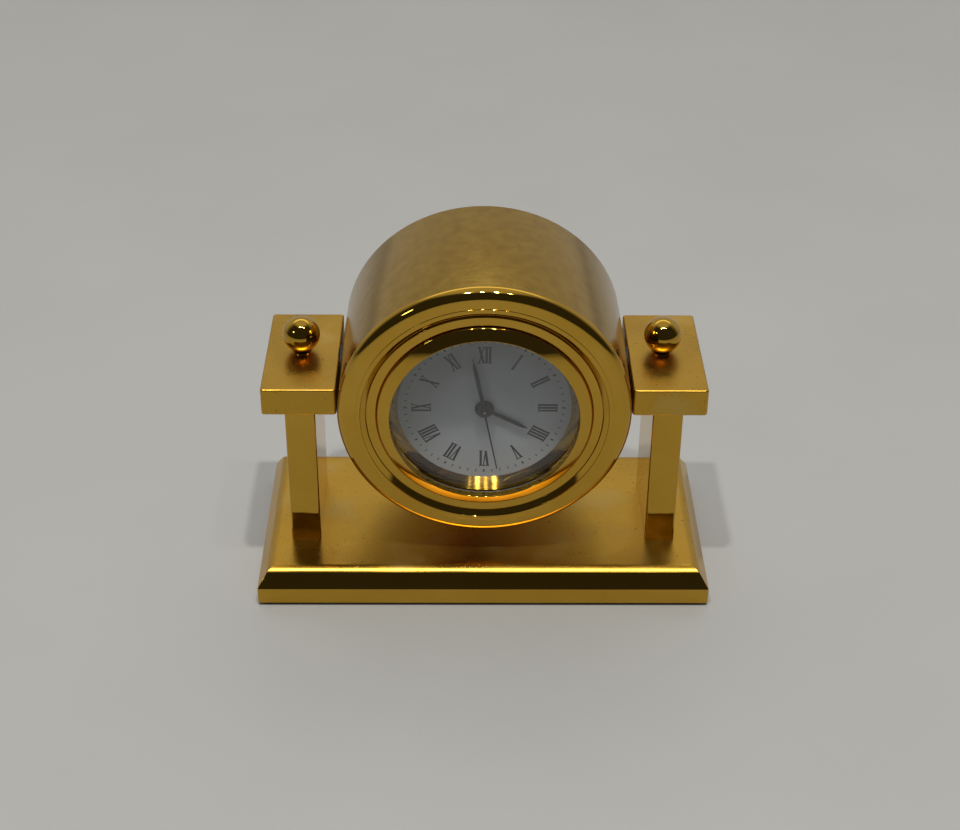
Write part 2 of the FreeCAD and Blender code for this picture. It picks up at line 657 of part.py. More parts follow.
def make_insert_shell():
    """Grip ring, glass, its gasket, the gilt ring above the dial, the dial and the snap-on back."""
    groove_radius = "cup_outer_radius - grip_groove + seat_gap"
    grip_radius = "case_bore_radius - seat_gap"
    front = "grip_start + seat_gap"
    back = "grip_start + grip_width - seat_gap"
    turned("grip_ring", ring_corners(groove_radius, grip_radius, front, back))
    glass_radius = "(cup_inner_radius - crystal_gasket)"
    turned("crystal", ring_corners("0", glass_radius, "-flange_thickness", "crystal_back"))
    gasket_inner = f"{glass_radius} + seat_gap"
    gasket_outer = "cup_inner_radius - seat_gap"
    turned("crystal_gasket", ring_corners(gasket_inner, gasket_outer, "-flange_thickness", "crystal_back"))
    slope = [
        ("aperture_radius", "crystal_back"),
        (gasket_outer, "crystal_back"),
        (gasket_outer, "dial_front"),
        ("dial_opening", "dial_front"),
    ]
    turned("dial_ring", slope)
    turned("dial", ring_corners("dial_hole_radius", "dial_radius", "dial_front", "dial_back"))
    skirt_outer = "rear_inner_radius - seat_gap"
    skirt_inner = "rear_inner_radius - seat_gap - back_wall"
    lid = [
        ("0", "cup_end"),
        (skirt_inner, "cup_end"),
        (skirt_inner, "cup_end - back_skirt"),
        (skirt_outer, "cup_end - back_skirt"),
        (skirt_outer, "cup_end"),
        ("rear_outer_radius", "cup_end"),
        ("rear_outer_radius", "cup_end + back_thickness"),
        ("0", "cup_end + back_thickness"),
    ]
    turned("insert_back", lid)


def solid_feature(label, shape):
    """Store a shape made from points under its own label, then seat it in the insert."""
    feature = doc.addObject("Part::Feature", label)
    feature.Label = label
    feature.Shape = shape
    return feature


def cylinder(radius, front, back, x=0.0, z=0.0):
    """A cylinder along the insert's axis, between two depths."""
    return Part.makeCylinder(radius, back - front, Vector(x, front, z), Vector(0, 1, 0))


TOOTH_SHARE = 0.3
TIP_SHARE = 0.13


def toothed(teeth, module, front, back, phase):
    """A toothed disc: each tooth is a small trapezium on the root circle."""
    root = module * (teeth / 2 - 1.2)
    tip = module * (teeth / 2 + 0.9)
    pitch = math.tau / teeth
    points = []
    for tooth in range(teeth):
        middle = phase + tooth * pitch
        for radius, turn in ((root, -TOOTH_SHARE), (tip, -TIP_SHARE), (tip, TIP_SHARE), (root, TOOTH_SHARE)):
            angle = middle + turn * pitch
            points.append(Vector(radius * math.cos(angle), front, radius * math.sin(angle)))
    points.append(points[0])
    return Part.Face(Part.makePolygon(points)).extrude(Vector(0, back - front, 0))


def meshing_phase(bearing, teeth, driver_teeth, driver_phase):
    """Turn of a wheel at which its gap meets the driver's tooth on their line of centres."""
    lag = ((bearing - driver_phase) / (math.tau / driver_teeth)) % 1.0
    pitch = math.tau / teeth
    return bearing + math.pi + lag * pitch + pitch / 2


# Tooth counts of each pair: the wheel first, then its pinion
SECONDS_PAIR = (40, 8)
ROTOR_PAIR = (36, 6)
THIRD_PAIR = (60, 8)
CENTRE_PAIR = (64, 8)
MINUTE_PAIR = (36, 12)
HOUR_PAIR = (40, 10)
SETTING_PAIR = (36, 20)


def pair_module(pair, spacing):
    return 2 * spacing / sum(pair)


def fused(pieces, bore=None):
    shape = pieces[0].fuse(pieces[1:])
    if bore is not None:
        shape = shape.cut(bore)
    return shape.removeSplitter()


def make_train():
    """Going train, from the rotor to the centre wheel. Levels are depths behind the main plate."""
    wheel = size("wheel_thickness")
    pinion = size("pinion_length")
    spacing = size("arbor_spacing")
    arbor = size("arbor_radius")
    floor = size("plate_back")
    roof = size("bridge_front")
    third_bearing = math.radians(size("third_bearing"))
    intermediate_bearing = math.radians(size("intermediate_bearing"))
    step = (size("train_space") - wheel) / 5
    levels = [floor + step * (k + 0.4) for k in range(5)]
    pivot_end = roof + size("bridge_thickness") / 2
    pivot_start = floor - size("plate_thickness") / 2

    def pinion_at(pair, module, level, phase):
        middle = level + wheel / 2
        return toothed(pair[1], module, middle - pinion / 2, middle + pinion / 2, phase)

    seconds_module = pair_module(SECONDS_PAIR, spacing)
    third_module = pair_module(THIRD_PAIR, spacing)
    centre_module = pair_module(CENTRE_PAIR, spacing)
    rotor_module = pair_module(ROTOR_PAIR, size("rotor_spacing"))
    rotor_bearing = math.atan2(size("rotor_z") - size("intermediate_z"), -size("intermediate_x"))

    seconds = fused([
        toothed(SECONDS_PAIR[0], seconds_module, levels[2], levels[2] + wheel, intermediate_bearing),
        pinion_at(THIRD_PAIR, third_module, levels[1], third_bearing),
        cylinder(arbor, size("second_hand_front"), pivot_end),
    ])
    place_in_insert(solid_feature("fourth_wheel", seconds))

    third_phase = meshing_phase(third_bearing, THIRD_PAIR[0], THIRD_PAIR[1], third_bearing)
    third_pinion_phase = meshing_phase(third_bearing, CENTRE_PAIR[1], CENTRE_PAIR[0], third_bearing)
    third = fused([
        toothed(THIRD_PAIR[0], third_module, levels[1], levels[1] + wheel, third_phase),
        pinion_at(CENTRE_PAIR, centre_module, levels[0], third_pinion_phase),
        cylinder(arbor, pivot_start, pivot_end),
    ])
    place_in_insert(solid_feature("third_wheel", third), "third_x", "0", "third_z")

    bearing = intermediate_bearing
    intermediate_pinion_phase = meshing_phase(bearing, SECONDS_PAIR[1], SECONDS_PAIR[0], bearing)
    intermediate = fused([
        toothed(ROTOR_PAIR[0], rotor_module, levels[3], levels[3] + wheel, rotor_bearing),
        pinion_at(SECONDS_PAIR, seconds_module, levels[2], intermediate_pinion_phase),
        cylinder(arbor, pivot_start, pivot_end),
    ])
    intermediate_feature = solid_feature("intermediate_wheel", intermediate)
    place_in_insert(intermediate_feature, "intermediate_x", "0", "intermediate_z")

    magnet_front = floor + step * 0.4
    rotor_phase = meshing_phase(rotor_bearing, ROTOR_PAIR[1], ROTOR_PAIR[0], rotor_bearing)
    rotor = fused([
        cylinder(size("magnet_radius"), magnet_front, magnet_front + size("magnet_thickness")),
        pinion_at(ROTOR_PAIR, rotor_module, levels[3], rotor_phase),
        cylinder(arbor, pivot_start, pivot_end),
    ])
    place_in_insert(solid_feature("rotor", rotor), "0", "0", "rotor_z")

    tube_bore = arbor + size("arbor_gap")
    tube_front = size("minute_hand_back")
    centre = fused([
        toothed(CENTRE_PAIR[0], centre_module, levels[0], levels[0] + wheel, third_bearing),
        cylinder(size("tube_radius"), tube_front, levels[0] + wheel),
    ], cylinder(tube_bore, tube_front - wheel, levels[0] + 2 * wheel))
    place_in_insert(solid_feature("centre_wheel", centre))


def make_motion_work():
    """Wheels under the dial: cannon pinion, minute wheel, hour wheel and the setting wheel."""
    wheel = size("wheel_thickness")
    pinion = size("pinion_length")
    spacing = size("motion_spacing")
    gap = size("arbor_gap")
    arbor = size("arbor_radius")
    plate = size("plate_front")
    dial_back = size("dial_back")
    hour_level = dial_back + gap * 2
    minute_level = plate - pinion - wheel / 2
    minute_module = pair_module(MINUTE_PAIR, spacing)
    hour_module = pair_module(HOUR_PAIR, spacing)

    cannon_front = size("minute_hand_front")
    cannon = fused([
        toothed(MINUTE_PAIR[1], minute_module, minute_level - wheel / 2, minute_level + 1.5 * wheel, 0.0),
        cylinder(size("cannon_radius"), cannon_front, plate - gap),
    ], cylinder(size("tube_radius") + size("seat_gap"), cannon_front - wheel, plate))
    place_in_insert(solid_feature("cannon_pinion", cannon))

    minute_phase = meshing_phase(0.0, MINUTE_PAIR[0], MINUTE_PAIR[1], 0.0)
    pinion_phase = meshing_phase(0.0, HOUR_PAIR[1], HOUR_PAIR[0], 0.0)
    minute = fused([
        toothed(MINUTE_PAIR[0], minute_module, minute_level, minute_level + wheel, minute_phase),
        toothed(HOUR_PAIR[1], hour_module, hour_level - gap, minute_level, pinion_phase),
    ], cylinder(arbor + gap, dial_back, plate))
    place_in_insert(solid_feature("minute_wheel", minute), "motion_spacing")

    hour_front = size("hour_hand_front")
    hour = fused([
        toothed(HOUR_PAIR[0], hour_module, hour_level, hour_level + wheel, 0.0),
        cylinder(size("hour_tube_radius"), hour_front, hour_level + wheel),
    ], cylinder(size("cannon_radius") + gap, hour_front - wheel, plate))
    place_in_insert(solid_feature("hour_wheel", hour))

    setting_phase = meshing_phase(0.0, SETTING_PAIR[1], SETTING_PAIR[0], minute_phase)
    setting = toothed(SETTING_PAIR[1], minute_module, minute_level, minute_level + wheel, setting_phase)
    setting = setting.cut(cylinder(arbor + gap, dial_back, plate))
    place_in_insert(solid_feature("setting_wheel", setting), "setting_x")


def hand(label, turn, widths, length, boss, bore, front, thickness, shoulder):
    """A hand: a round boss and a pointed blade, turned clockwise from twelve about its bore."""
    body = new_body(label)
    for shape in ("boss", "blade"):
        sketch = new_sketch(body, "XZ_Plane", f"-({front} + {thickness})")
        sketch.AttachmentOffset = Placement(Vector(0, 0, 0), Rotation(Vector(0, 0, 1), 1))
        bind(sketch, "AttachmentOffset.Base.z", f"-({front} + {thickness})")
        bind(sketch, "AttachmentOffset.Rotation.Angle", f"360 - {turn}")
        if shape == "boss":
            circle(sketch, boss)
        else:
            root, widest = widths
            blade = [
                (f"-{root} / 2", "0"),
                (f"{root} / 2", "0"),
                (f"{widest} / 2", f"({length}) * {shoulder}"),
                ("0", length),
                (f"-{widest} / 2", f"({length}) * {shoulder}"),
            ]
            outline(sketch, blade)
        pad(body, sketch, thickness)
    hole = new_sketch(body, "XZ_Plane", f"-({front} + {thickness})")
    circle(hole, bore)
    pocket(body, hole)
    place_in_insert(body)


def make_hands():
    hand("hour_hand", "hour_hand_turn", ("hour_hand_root", "hour_hand_width"), "dial_opening - hour_tip_gap",
         "hour_boss_radius", "hour_tube_radius", "hour_hand_front", "hand_thickness", "0.82")
    hand("minute_hand", "minute_hand_turn", ("minute_hand_root", "minute_hand_width"),
         "dial_opening - minute_tip_gap", "minute_boss_radius", "cannon_radius", "minute_hand_front",
         "hand_thickness", "0.62")
    hand("second_hand", "second_hand_turn", ("second_hand_root", "second_hand_width"),
         "dial_opening - second_tip_gap", "second_boss_radius", "arbor_radius", "second_hand_front",
         "second_hand_thickness", "0.97")


# Bridge pillars, as places on the main plate
PILLARS = (
    ("stator_half_span - 2.2", "rotor_z"),
    ("2.2 - stator_half_span", "rotor_z"),
    ("-arbor_spacing * 0.8", "-arbor_spacing * 1.3"),
)


def make_plates():
    """Plastic holder, main plate with its pillars and studs, train bridge and bridge screws."""
    holder = turned("movement_holder", ring_corners(
        "holder_radius - holder_wall", "holder_radius", "shoulder_back + seat_gap", "cup_end - back_skirt"))
    slot = new_sketch(holder, "YZ_Plane")
    circle(slot, "stem_radius + stem_gap", "stem_depth", "0")
    pocket(holder, slot, "cup_outer_radius", forward=True)

    plate = new_body("main_plate")
    disc = new_sketch(plate, "XZ_Plane", "-plate_back")
    circle(disc, "movement_radius")
    pad(plate, disc, "plate_thickness")
    for x, z in PILLARS:
        pillar = new_sketch(plate, "XZ_Plane", "-bridge_front")
        circle(pillar, "pillar_radius", x, z)
        pad(plate, pillar, "train_space")
    for x in ("motion_spacing", "setting_x"):
        stud = new_sketch(plate, "XZ_Plane", "-plate_front")
        circle(stud, "arbor_radius", x, "0")
        pad(plate, stud, "motion_space - arbor_gap")
    slot = new_sketch(plate, "XZ_Plane", "-plate_back")
    half_slot = "castle_radius + stem_gap"
    castle_end = "setting_x + castle_length * 2"
    outline(slot, box_corners("setting_x + arbor_radius * 2", castle_end, f"-({half_slot})", half_slot))
    pocket(plate, slot)
    window = new_sketch(plate, "XZ_Plane", "-plate_back")
    outline(window, box_corners("-window_half_span", "window_half_span",
                                "core_height - coil_radius - coil_gap", "core_height + coil_radius + coil_gap"))
    pocket(plate, window)
    for x, z, radius in (("0", "0", "tube_radius + arbor_gap"), ("third_x", "third_z", "arbor_radius + arbor_gap"),
                         ("intermediate_x", "intermediate_z", "arbor_radius + arbor_gap"),
                         ("0", "rotor_z", "arbor_radius + arbor_gap")):
        hole = new_sketch(plate, "XZ_Plane", "-plate_back")
        circle(hole, radius, x, z)
        pocket(plate, hole)
    for x, z in PILLARS:
        hole = new_sketch(plate, "XZ_Plane", "-bridge_front")
        circle(hole, "plate_screw_radius + seat_gap", x, z)
        pocket(plate, hole)
    place_in_insert(plate)

    bridge = new_body("train_bridge")
    wide = "stator_half_span - 1.3"
    top = "rotor_z + 0.9"
    low = "-arbor_spacing * 1.3 - 0.9"
    sketch = new_sketch(bridge, "XZ_Plane", "-bridge_back")
    outline(sketch, [
        ("-arbor_spacing", low), ("third_x + 1.2", low), ("third_x + 1.2", "1.0"), (wide, "rotor_z - 0.9"),
        (wide, top), (f"-({wide})", top), (f"-({wide})", "rotor_z - 0.9"), ("-arbor_spacing", "1.0")])
    pad(bridge, sketch, "bridge_thickness")
    for x, z, radius in (("0", "0", "arbor_radius + arbor_gap"), ("third_x", "third_z", "arbor_radius + arbor_gap"),
                         ("intermediate_x", "intermediate_z", "arbor_radius + arbor_gap"),
                         ("0", "rotor_z", "arbor_radius + arbor_gap")):
        hole = new_sketch(bridge, "XZ_Plane", "-bridge_back")
        circle(hole, radius, x, z)
        pocket(bridge, hole)
    for x, z in PILLARS:
        hole = new_sketch(bridge, "XZ_Plane", "-bridge_back")
        circle(hole, "plate_screw_radius + seat_gap", x, z)
        pocket(bridge, hole)
    place_in_insert(bridge)

    screws = []
    for number, (x, z) in enumerate(PILLARS, 1):
        for shape, radius, front, length in (
                ("shank", "plate_screw_radius", "plate_front", "bridge_back - plate_front"),
                ("head", "plate_screw_head", "bridge_back", "plate_screw_rise")):
            piece = doc.addObject("Part::Cylinder", f"bridge_screw_{shape}_{number}")
            bind(piece, "Radius", radius)
            bind(piece, "Height", length)
            piece.Placement = Placement(Vector(0, 0, 0), Rotation(Vector(1, 0, 0), -90))
            bind(piece, "Placement.Base.x", x)
            bind(piece, "Placement.Base.y", front)
            bind(piece, "Placement.Base.z", z)
            screws.append(piece)
    group = doc.addObject("Part::MultiFuse", "bridge_screws")
    group.Label = "bridge_screws"
    group.Shapes = screws
    group.Refine = True
    place_in_insert(group)


def make_motor():
    """Stator plate, coil core with its winding, and the button cell with its clamp."""
    stator = new_body("stator")
    floor = "plate_back + seat_gap"
    sketch = new_sketch(stator, "XZ_Plane", f"-({floor} + stator_thickness)")
    half = "stator_half_span"
    low = "rotor_z - stator_bar / 2"
    high = "rotor_z + stator_bar / 2"
    lug_top = "core_height + core_width / 2"
    outline(sketch, [
        (f"-{half}", low), (half, low), (half, lug_top), (f"{half} - lug_width", lug_top),
        (f"{half} - lug_width", high), (f"lug_width - {half}", high), (f"lug_width - {half}", lug_top),
        (f"-{half}", lug_top)])
    pad(stator, sketch, "stator_thickness")
    hole = new_sketch(stator, "XZ_Plane", f"-({floor} + stator_thickness)")
    circle(hole, "magnet_radius + stator_gap", "0", "rotor_z")
    for x, z in PILLARS[:2]:
        circle(hole, "pillar_radius + seat_gap", x, z)
    pocket(stator, hole)
    place_in_insert(stator)

    core = new_body("coil_core")
    sketch = new_sketch(core, "XZ_Plane", f"-({floor} + 2 * stator_thickness)")
    core_low = "core_height - core_width / 2"
    outline(sketch, box_corners(f"-{half}", half, core_low, lug_top))
    pad(core, sketch, "stator_thickness")
    place_in_insert(core)

    coil = new_body("coil")
    inner = "core_width / 2 + seat_gap"
    corners = [
        ("-coil_half_span", "0"), ("coil_half_span", "0"), ("coil_half_span", "coil_radius"),
        ("coil_half_length", "coil_radius"), ("coil_half_length", "coil_radius - seat_gap * 3"),
        ("-coil_half_length", "coil_radius - seat_gap * 3"), ("-coil_half_length", "coil_radius"),
        ("-coil_half_span", "coil_radius")]
    revolve(coil, corners, axis="H_Axis")
    tunnel = new_sketch(coil, "YZ_Plane")
    half_core = "stator_thickness / 2 + seat_gap"
    outline(tunnel, box_corners(f"-({half_core})", half_core, f"-({inner})", inner))
    pocket(coil, tunnel)
    place_in_insert(coil, "0", "plate_back + seat_gap + 1.5 * stator_thickness", "core_height")

    cell = new_body("button_cell")
    cell_depth = "plate_back + seat_gap"
    revolve(cell, [
        ("0", "0"), ("cell_radius * 0.8", "0"), ("cell_radius * 0.8", "cell_thickness * 0.2"),
        ("cell_radius", "cell_thickness * 0.2"), ("cell_radius", "cell_thickness"), ("0", "cell_thickness")])
    place_in_insert(cell, "cell_x", cell_depth, "cell_z")

    clamp = new_body("battery_clamp")
    top = f"-({cell_depth} + cell_thickness + clamp_thickness)"
    foot_x = "arbor_spacing * 0.25"
    sketch = new_sketch(clamp, "XZ_Plane", top)
    bar = box_corners("cell_x - cell_radius * 0.7", "-arbor_spacing - seat_gap * 10",
                      "cell_z - clamp_width / 2", "cell_z + clamp_width / 2")
    outline(sketch, bar)
    pad(clamp, sketch, "clamp_thickness")
    foot = new_sketch(clamp, "XZ_Plane", top)
    outline(foot, box_corners(f"-arbor_spacing - {foot_x}", "-arbor_spacing - seat_gap * 10",
                              "cell_z - clamp_width * 1.9", "cell_z - clamp_width / 2"))
    pad(clamp, foot, "clamp_thickness")
    leg = new_sketch(clamp, "XZ_Plane", top)
    outline(leg, box_corners(f"-arbor_spacing - {foot_x}", "-arbor_spacing - seat_gap * 10",
                             "cell_z - clamp_width * 1.9", "cell_z - clamp_width * 1.9 + clamp_thickness"))
    leg_pad = pad(clamp, leg, "cell_thickness + clamp_thickness")
    leg_pad.Reversed = False
    place_in_insert(clamp)


def make_electronics():
    """Circuit board with its sealed chip, and the quartz can that lies on it."""
    board = new_body("circuit_board")
    half_width = "board_width / 2"
    half_depth = "board_depth / 2"
    sketch = new_sketch(board, "XZ_Plane", "-(plate_back + board_thickness)")
    outline(sketch, box_corners(f"board_shift - {half_width}", f"board_shift + {half_width}",
                                f"-board_drop - {half_depth}", f"-board_drop + {half_depth}"))
    pad(board, sketch, "board_thickness")
    chip = new_sketch(board, "XZ_Plane", "-(plate_back + board_thickness + chip_size / 3)")
    chip_x = "board_shift - board_width / 4"
    chip_z = "quartz_radius / 2 + chip_gap - board_drop"
    outline(chip, box_corners(f"{chip_x} - chip_size / 2", f"{chip_x} + chip_size / 2",
                              chip_z, f"{chip_z} + chip_size * 0.6"))
    pad(board, chip, "chip_size / 3")
    place_in_insert(board)
    can = new_body("quartz_can")
    half = "quartz_length / 2"
    revolve(can, box_corners(f"-{half}", half, "0", "quartz_radius"), axis="H_Axis")
    place_in_insert(can, "board_shift", "plate_back + board_thickness + quartz_radius + seat_gap",
                    "-board_drop - quartz_radius / 2")


def make_crown():
    """Stem with its castle wheel, the fluted crown, and the slider that follows the stem."""
    stem = new_body("stem")
    castle_start = "setting_x + castle_length * 0.5"
    collar = "setting_x + castle_length * 3"
    corners = [
        (castle_start, "0"),
        (castle_start, "castle_radius"),
        (f"{castle_start} + castle_length", "castle_radius"),
        (f"{castle_start} + castle_length", "stem_radius"),
        (collar, "stem_radius"),
        (collar, "stem_radius * 0.6"),
        (f"{collar} + slider_thickness + 2 * seat_gap", "stem_radius * 0.6"),
        (f"{collar} + slider_thickness + 2 * seat_gap", "stem_radius"),
        ("crown_start + crown_length / 2", "stem_radius"),
        ("crown_start + crown_length / 2", "0"),
    ]
    revolve(stem, corners, axis="H_Axis")
    place_in_insert(stem, "0", "stem_depth")

    crown = new_body("crown")
    end = "crown_start + crown_length"
    corners = [
        ("crown_start", "stem_radius"),
        ("crown_start", "crown_radius"),
        (f"{end} - crown_flute * 2", "crown_radius"),
        (end, "crown_radius - crown_flute * 2"),
        (end, "0"),
        ("crown_start + crown_length / 2", "0"),
        ("crown_start + crown_length / 2", "stem_radius"),
    ]
    revolve(crown, corners, axis="H_Axis")
    flute = new_sketch(crown, "YZ_Plane", "crown_start")
    circle(flute, "crown_flute", "0", "crown_radius")
    groove = pocket(crown, flute, "crown_length", forward=True)
    flutes = crown.newObject("PartDesign::PolarPattern", "crown_flutes")
    flutes.Originals = [groove]
    flutes.Axis = (origin_feature(crown, "X_Axis"), [""])
    flutes.Occurrences = 20
    crown.Tip = flutes
    place_in_insert(crown, "0", "stem_depth")

    slider = new_body("setting_slider")
    sketch = new_sketch(slider, "YZ_Plane", f"{collar} + seat_gap")
    reach = "slider_width / 2"
    outline(sketch, box_corners("-stem_radius - seat_gap", reach, f"-({reach})", reach))
    pad(slider, sketch, "slider_thickness")
    notch = new_sketch(slider, "YZ_Plane", f"{collar} + seat_gap")
    neck = "stem_radius * 0.6 + seat_gap"
    outline(notch, box_corners("-slider_width", neck, f"-({neck})", neck))
    pocket(slider, notch)
    place_in_insert(slider, "0", "stem_depth")


def make_clock():
    make_base()
    make_felt()
    for side, sign in SIDES:
        make_post(side, sign)
        make_capital(side, sign)
        make_finial(side, sign)
        make_post_screw(side, sign)
        make_pivot(side, sign)
    make_case_barrel()
    make_rear_cover()
    make_insert_bezel()
    make_insert_shell()
    make_plates()
    make_motor()
    make_electronics()
    make_train()
    make_motion_work()
    make_hands()
    make_crown()


def sub_parts():
    """Every finished piece: each body, and each loose feature that no other feature uses."""
    kinds = ("PartDesign::Body", "Part::Feature", "Part::MultiFuse")
    return [thing for thing in doc.Objects if thing.TypeId in kinds]


def check_and_write():
    """Stop on a failed object, an empty or broken shape or a cut that cut nothing, then write the files."""
    doc.recompute()
    for thing in doc.Objects:
        if "Invalid" in thing.State or "Error" in thing.State:
            raise RuntimeError(f"{thing.Label} failed: {thing.State}")
        if thing.TypeId in ("PartDesign::Pocket", "PartDesign::Groove", "PartDesign::SubtractiveCone"):
            if thing.Shape.Volume > thing.BaseFeature.Shape.Volume - 1e-6:
                raise RuntimeError(f"{thing.Label} cuts nothing")
    os.makedirs("parts", exist_ok=True)
    for piece in sub_parts():
        if piece.Shape.isNull() or not piece.Shape.isValid():
            raise RuntimeError(f"{piece.Label} has no valid shape")
    for piece in sub_parts():
        piece.Shape.exportStep(f"parts/{piece.Label}.step")
        print(f"{piece.Label}: {len(piece.Shape.Solids)} solid(s), {piece.Shape.Volume:.3f} mm3")


make_clock()
check_and_write()
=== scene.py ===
# %% [markdown]
# # A miniature gilt desk clock
# A drum case hangs on two pins between flat posts with ball finials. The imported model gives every
# piece its place and size. This script gives the pieces their finish: buffed and brushed gold plate,
# a lacquered dial with printed numerals, and glass. Pieces that mirror the room are turned or cut
# again here with finer curves, because a mirror shows every facet.

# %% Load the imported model
import json
import math

import bmesh
import bpy
from mathutils import Matrix, Vector


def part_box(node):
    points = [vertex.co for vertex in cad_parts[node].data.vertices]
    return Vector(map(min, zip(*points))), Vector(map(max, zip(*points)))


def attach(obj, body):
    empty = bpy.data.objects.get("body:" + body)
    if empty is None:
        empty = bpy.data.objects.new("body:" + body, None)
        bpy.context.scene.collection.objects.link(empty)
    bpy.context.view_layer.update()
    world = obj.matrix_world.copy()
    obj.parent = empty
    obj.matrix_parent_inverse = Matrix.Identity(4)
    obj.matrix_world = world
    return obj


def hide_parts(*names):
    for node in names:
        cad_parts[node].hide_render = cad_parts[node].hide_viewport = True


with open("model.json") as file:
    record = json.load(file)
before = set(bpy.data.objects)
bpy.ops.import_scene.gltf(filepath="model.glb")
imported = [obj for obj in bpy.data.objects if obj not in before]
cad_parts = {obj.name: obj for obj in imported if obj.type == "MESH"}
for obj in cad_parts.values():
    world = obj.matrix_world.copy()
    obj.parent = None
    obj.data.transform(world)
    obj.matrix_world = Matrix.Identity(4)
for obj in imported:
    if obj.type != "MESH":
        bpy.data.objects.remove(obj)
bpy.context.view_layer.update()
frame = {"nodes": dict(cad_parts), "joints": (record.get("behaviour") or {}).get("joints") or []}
nodes = frame["nodes"]
MM = 0.001

# %% [markdown]
# ## Camera
# The photograph was taken with a telephone held about 21 cm in front of the clock and 16 cm above
# the table, looking down on it. Its place and turn were fitted to the corners of the base and to the
# rings of the dial, so every edge of the clock falls where the photograph has it.

# %% Place the camera
CAMERA_PLACE = Vector((-2.98, -213.92, 160.60)) * MM
LOOK_DOWN = math.radians(32.94)
LOOK_RIGHT = math.radians(0.665)
CAMERA_ROLL = math.radians(-0.48)
FOCAL_LENGTH = 66.99
SENSOR_WIDTH = 36.0
NEAR_LIMIT = 10 * MM

camera_data = bpy.data.cameras.new("Camera")
camera_data.sensor_fit = "HORIZONTAL"
camera_data.sensor_width = SENSOR_WIDTH
camera_data.lens = FOCAL_LENGTH
camera_data.clip_start = NEAR_LIMIT
camera = bpy.data.objects.new("Camera", camera_data)
bpy.context.scene.collection.objects.link(camera)

forward = Vector((
    math.sin(LOOK_RIGHT) * math.cos(LOOK_DOWN),
    math.cos(LOOK_RIGHT) * math.cos(LOOK_DOWN),
    -math.sin(LOOK_DOWN),
))
level_right = Vector((math.cos(LOOK_RIGHT), -math.sin(LOOK_RIGHT), 0.0))
level_down = forward.cross(level_right)
right = level_right * math.cos(CAMERA_ROLL) + level_down * math.sin(CAMERA_ROLL)
down = level_down * math.cos(CAMERA_ROLL) - level_right * math.sin(CAMERA_ROLL)
turn = Matrix((right, -down, -forward)).transposed().to_4x4()
camera.matrix_world = Matrix.Translation(CAMERA_PLACE) @ turn
bpy.context.scene.camera = camera
bpy.context.scene.view_settings.view_transform = "Standard"
print(f"camera {CAMERA_PLACE.length / MM:.0f} mm from the clock's foot")

# %% [markdown]
# ## Helpers for materials
# Colours are written as sRGB hex, the way a paint chart or a picture editor gives them. Blender's
# sockets want linear light, so one function converts them. The others add a node, set it up and link it,
# so that each material reads as a short list of what it is made of.

# %% Colour and node helpers
def colour(hex_text):
    """Turn an sRGB hex value such as #C9A14A into linear RGBA."""
    channels = [int(hex_text[k:k + 2], 16) / 255 for k in (1, 3, 5)]
    linear = [c / 12.92 if c <= 0.04045 else ((c + 0.055) / 1.055) ** 2.4 for c in channels]
    return (*linear, 1.0)


def add_node(tree, kind, sockets=None, **settings):
    """Add one node with its settings, and fill its sockets with values or links."""
    node = tree.nodes.new(kind)
    for name, value in settings.items():
        setattr(node, name, value)
    for name, value in (sockets or {}).items():
        socket = node.inputs[name]
        if isinstance(value, bpy.types.NodeSocket):
            tree.links.new(value, socket)
        else:
            socket.default_value = value
    return node


def new_material(name):
    """An empty material: the material, its node tree, and the place on the object as a socket."""
    material = bpy.data.materials.new(name)
    material.use_nodes = True
    tree = material.node_tree
    tree.nodes.clear()
    return material, tree, add_node(tree, "ShaderNodeTexCoord").outputs["Object"]


def spread(tree, vector, patch_mm, detail=3.0):
    """Noise whose patches are about as wide as the given size in millimetres."""
    return add_node(tree, "ShaderNodeTexNoise", {
        "Vector": vector, "Scale": 1 / (patch_mm * MM), "Detail": detail}).outputs["Fac"]


def toned(tree, factor, first, second):
    """The first colour where the factor is 0, the second where it is 1."""
    return add_node(tree, "ShaderNodeMix", {
        "Factor": factor, "A": first, "B": second}, data_type="RGBA").outputs["Result"]


def ranged(tree, value, source, target, easing="LINEAR"):
    """Carry a value from one range over to another, and hold it beyond the ends."""
    return add_node(tree, "ShaderNodeMapRange", {
        "Value": value, "From Min": source[0], "From Max": source[1],
        "To Min": target[0], "To Max": target[1]}, interpolation_type=easing).outputs["Result"]


def relief(tree, height, strength, depth_mm, under=None):
    """A relief of the given depth, on top of another one if there is one."""
    sockets = {"Height": height, "Strength": strength, "Distance": depth_mm * MM}
    if under is not None:
        sockets["Normal"] = under
    return add_node(tree, "ShaderNodeBump", sockets).outputs["Normal"]


def close_material(tree, shader):
    add_node(tree, "ShaderNodeOutputMaterial", {"Surface": shader.outputs[0]})


def close_opaque(tree, tint, gloss, normal, **sockets):
    """One opaque shader from a tint, a roughness and a normal, and the output behind it."""
    close_material(tree, add_node(tree, "ShaderNodeBsdfPrincipled", {
        "Base Color": tint, "Roughness": gloss, "Normal": normal, **sockets}))


# %% [markdown]
# ## Buffed gold plate
# The posts, rings, balls and base edges are brass, polished on a wheel and gold plated. That gives a
# mirror with a warm, slightly dark yellow. The plating of an old clock is never perfectly even: a
# slow change of tone and of gloss, a few millimetres wide, keeps it from looking like plastic. A
# polishing wheel also leaves a surface that is very slightly dished, which bends what it mirrors.

# %% Make the buffed gold
GOLD = "#CBA244"
GOLD_DEEP = "#BA8F30"
BUFFED_ROUGHNESS = (0.03, 0.08)
WAVE_MM = 3.0


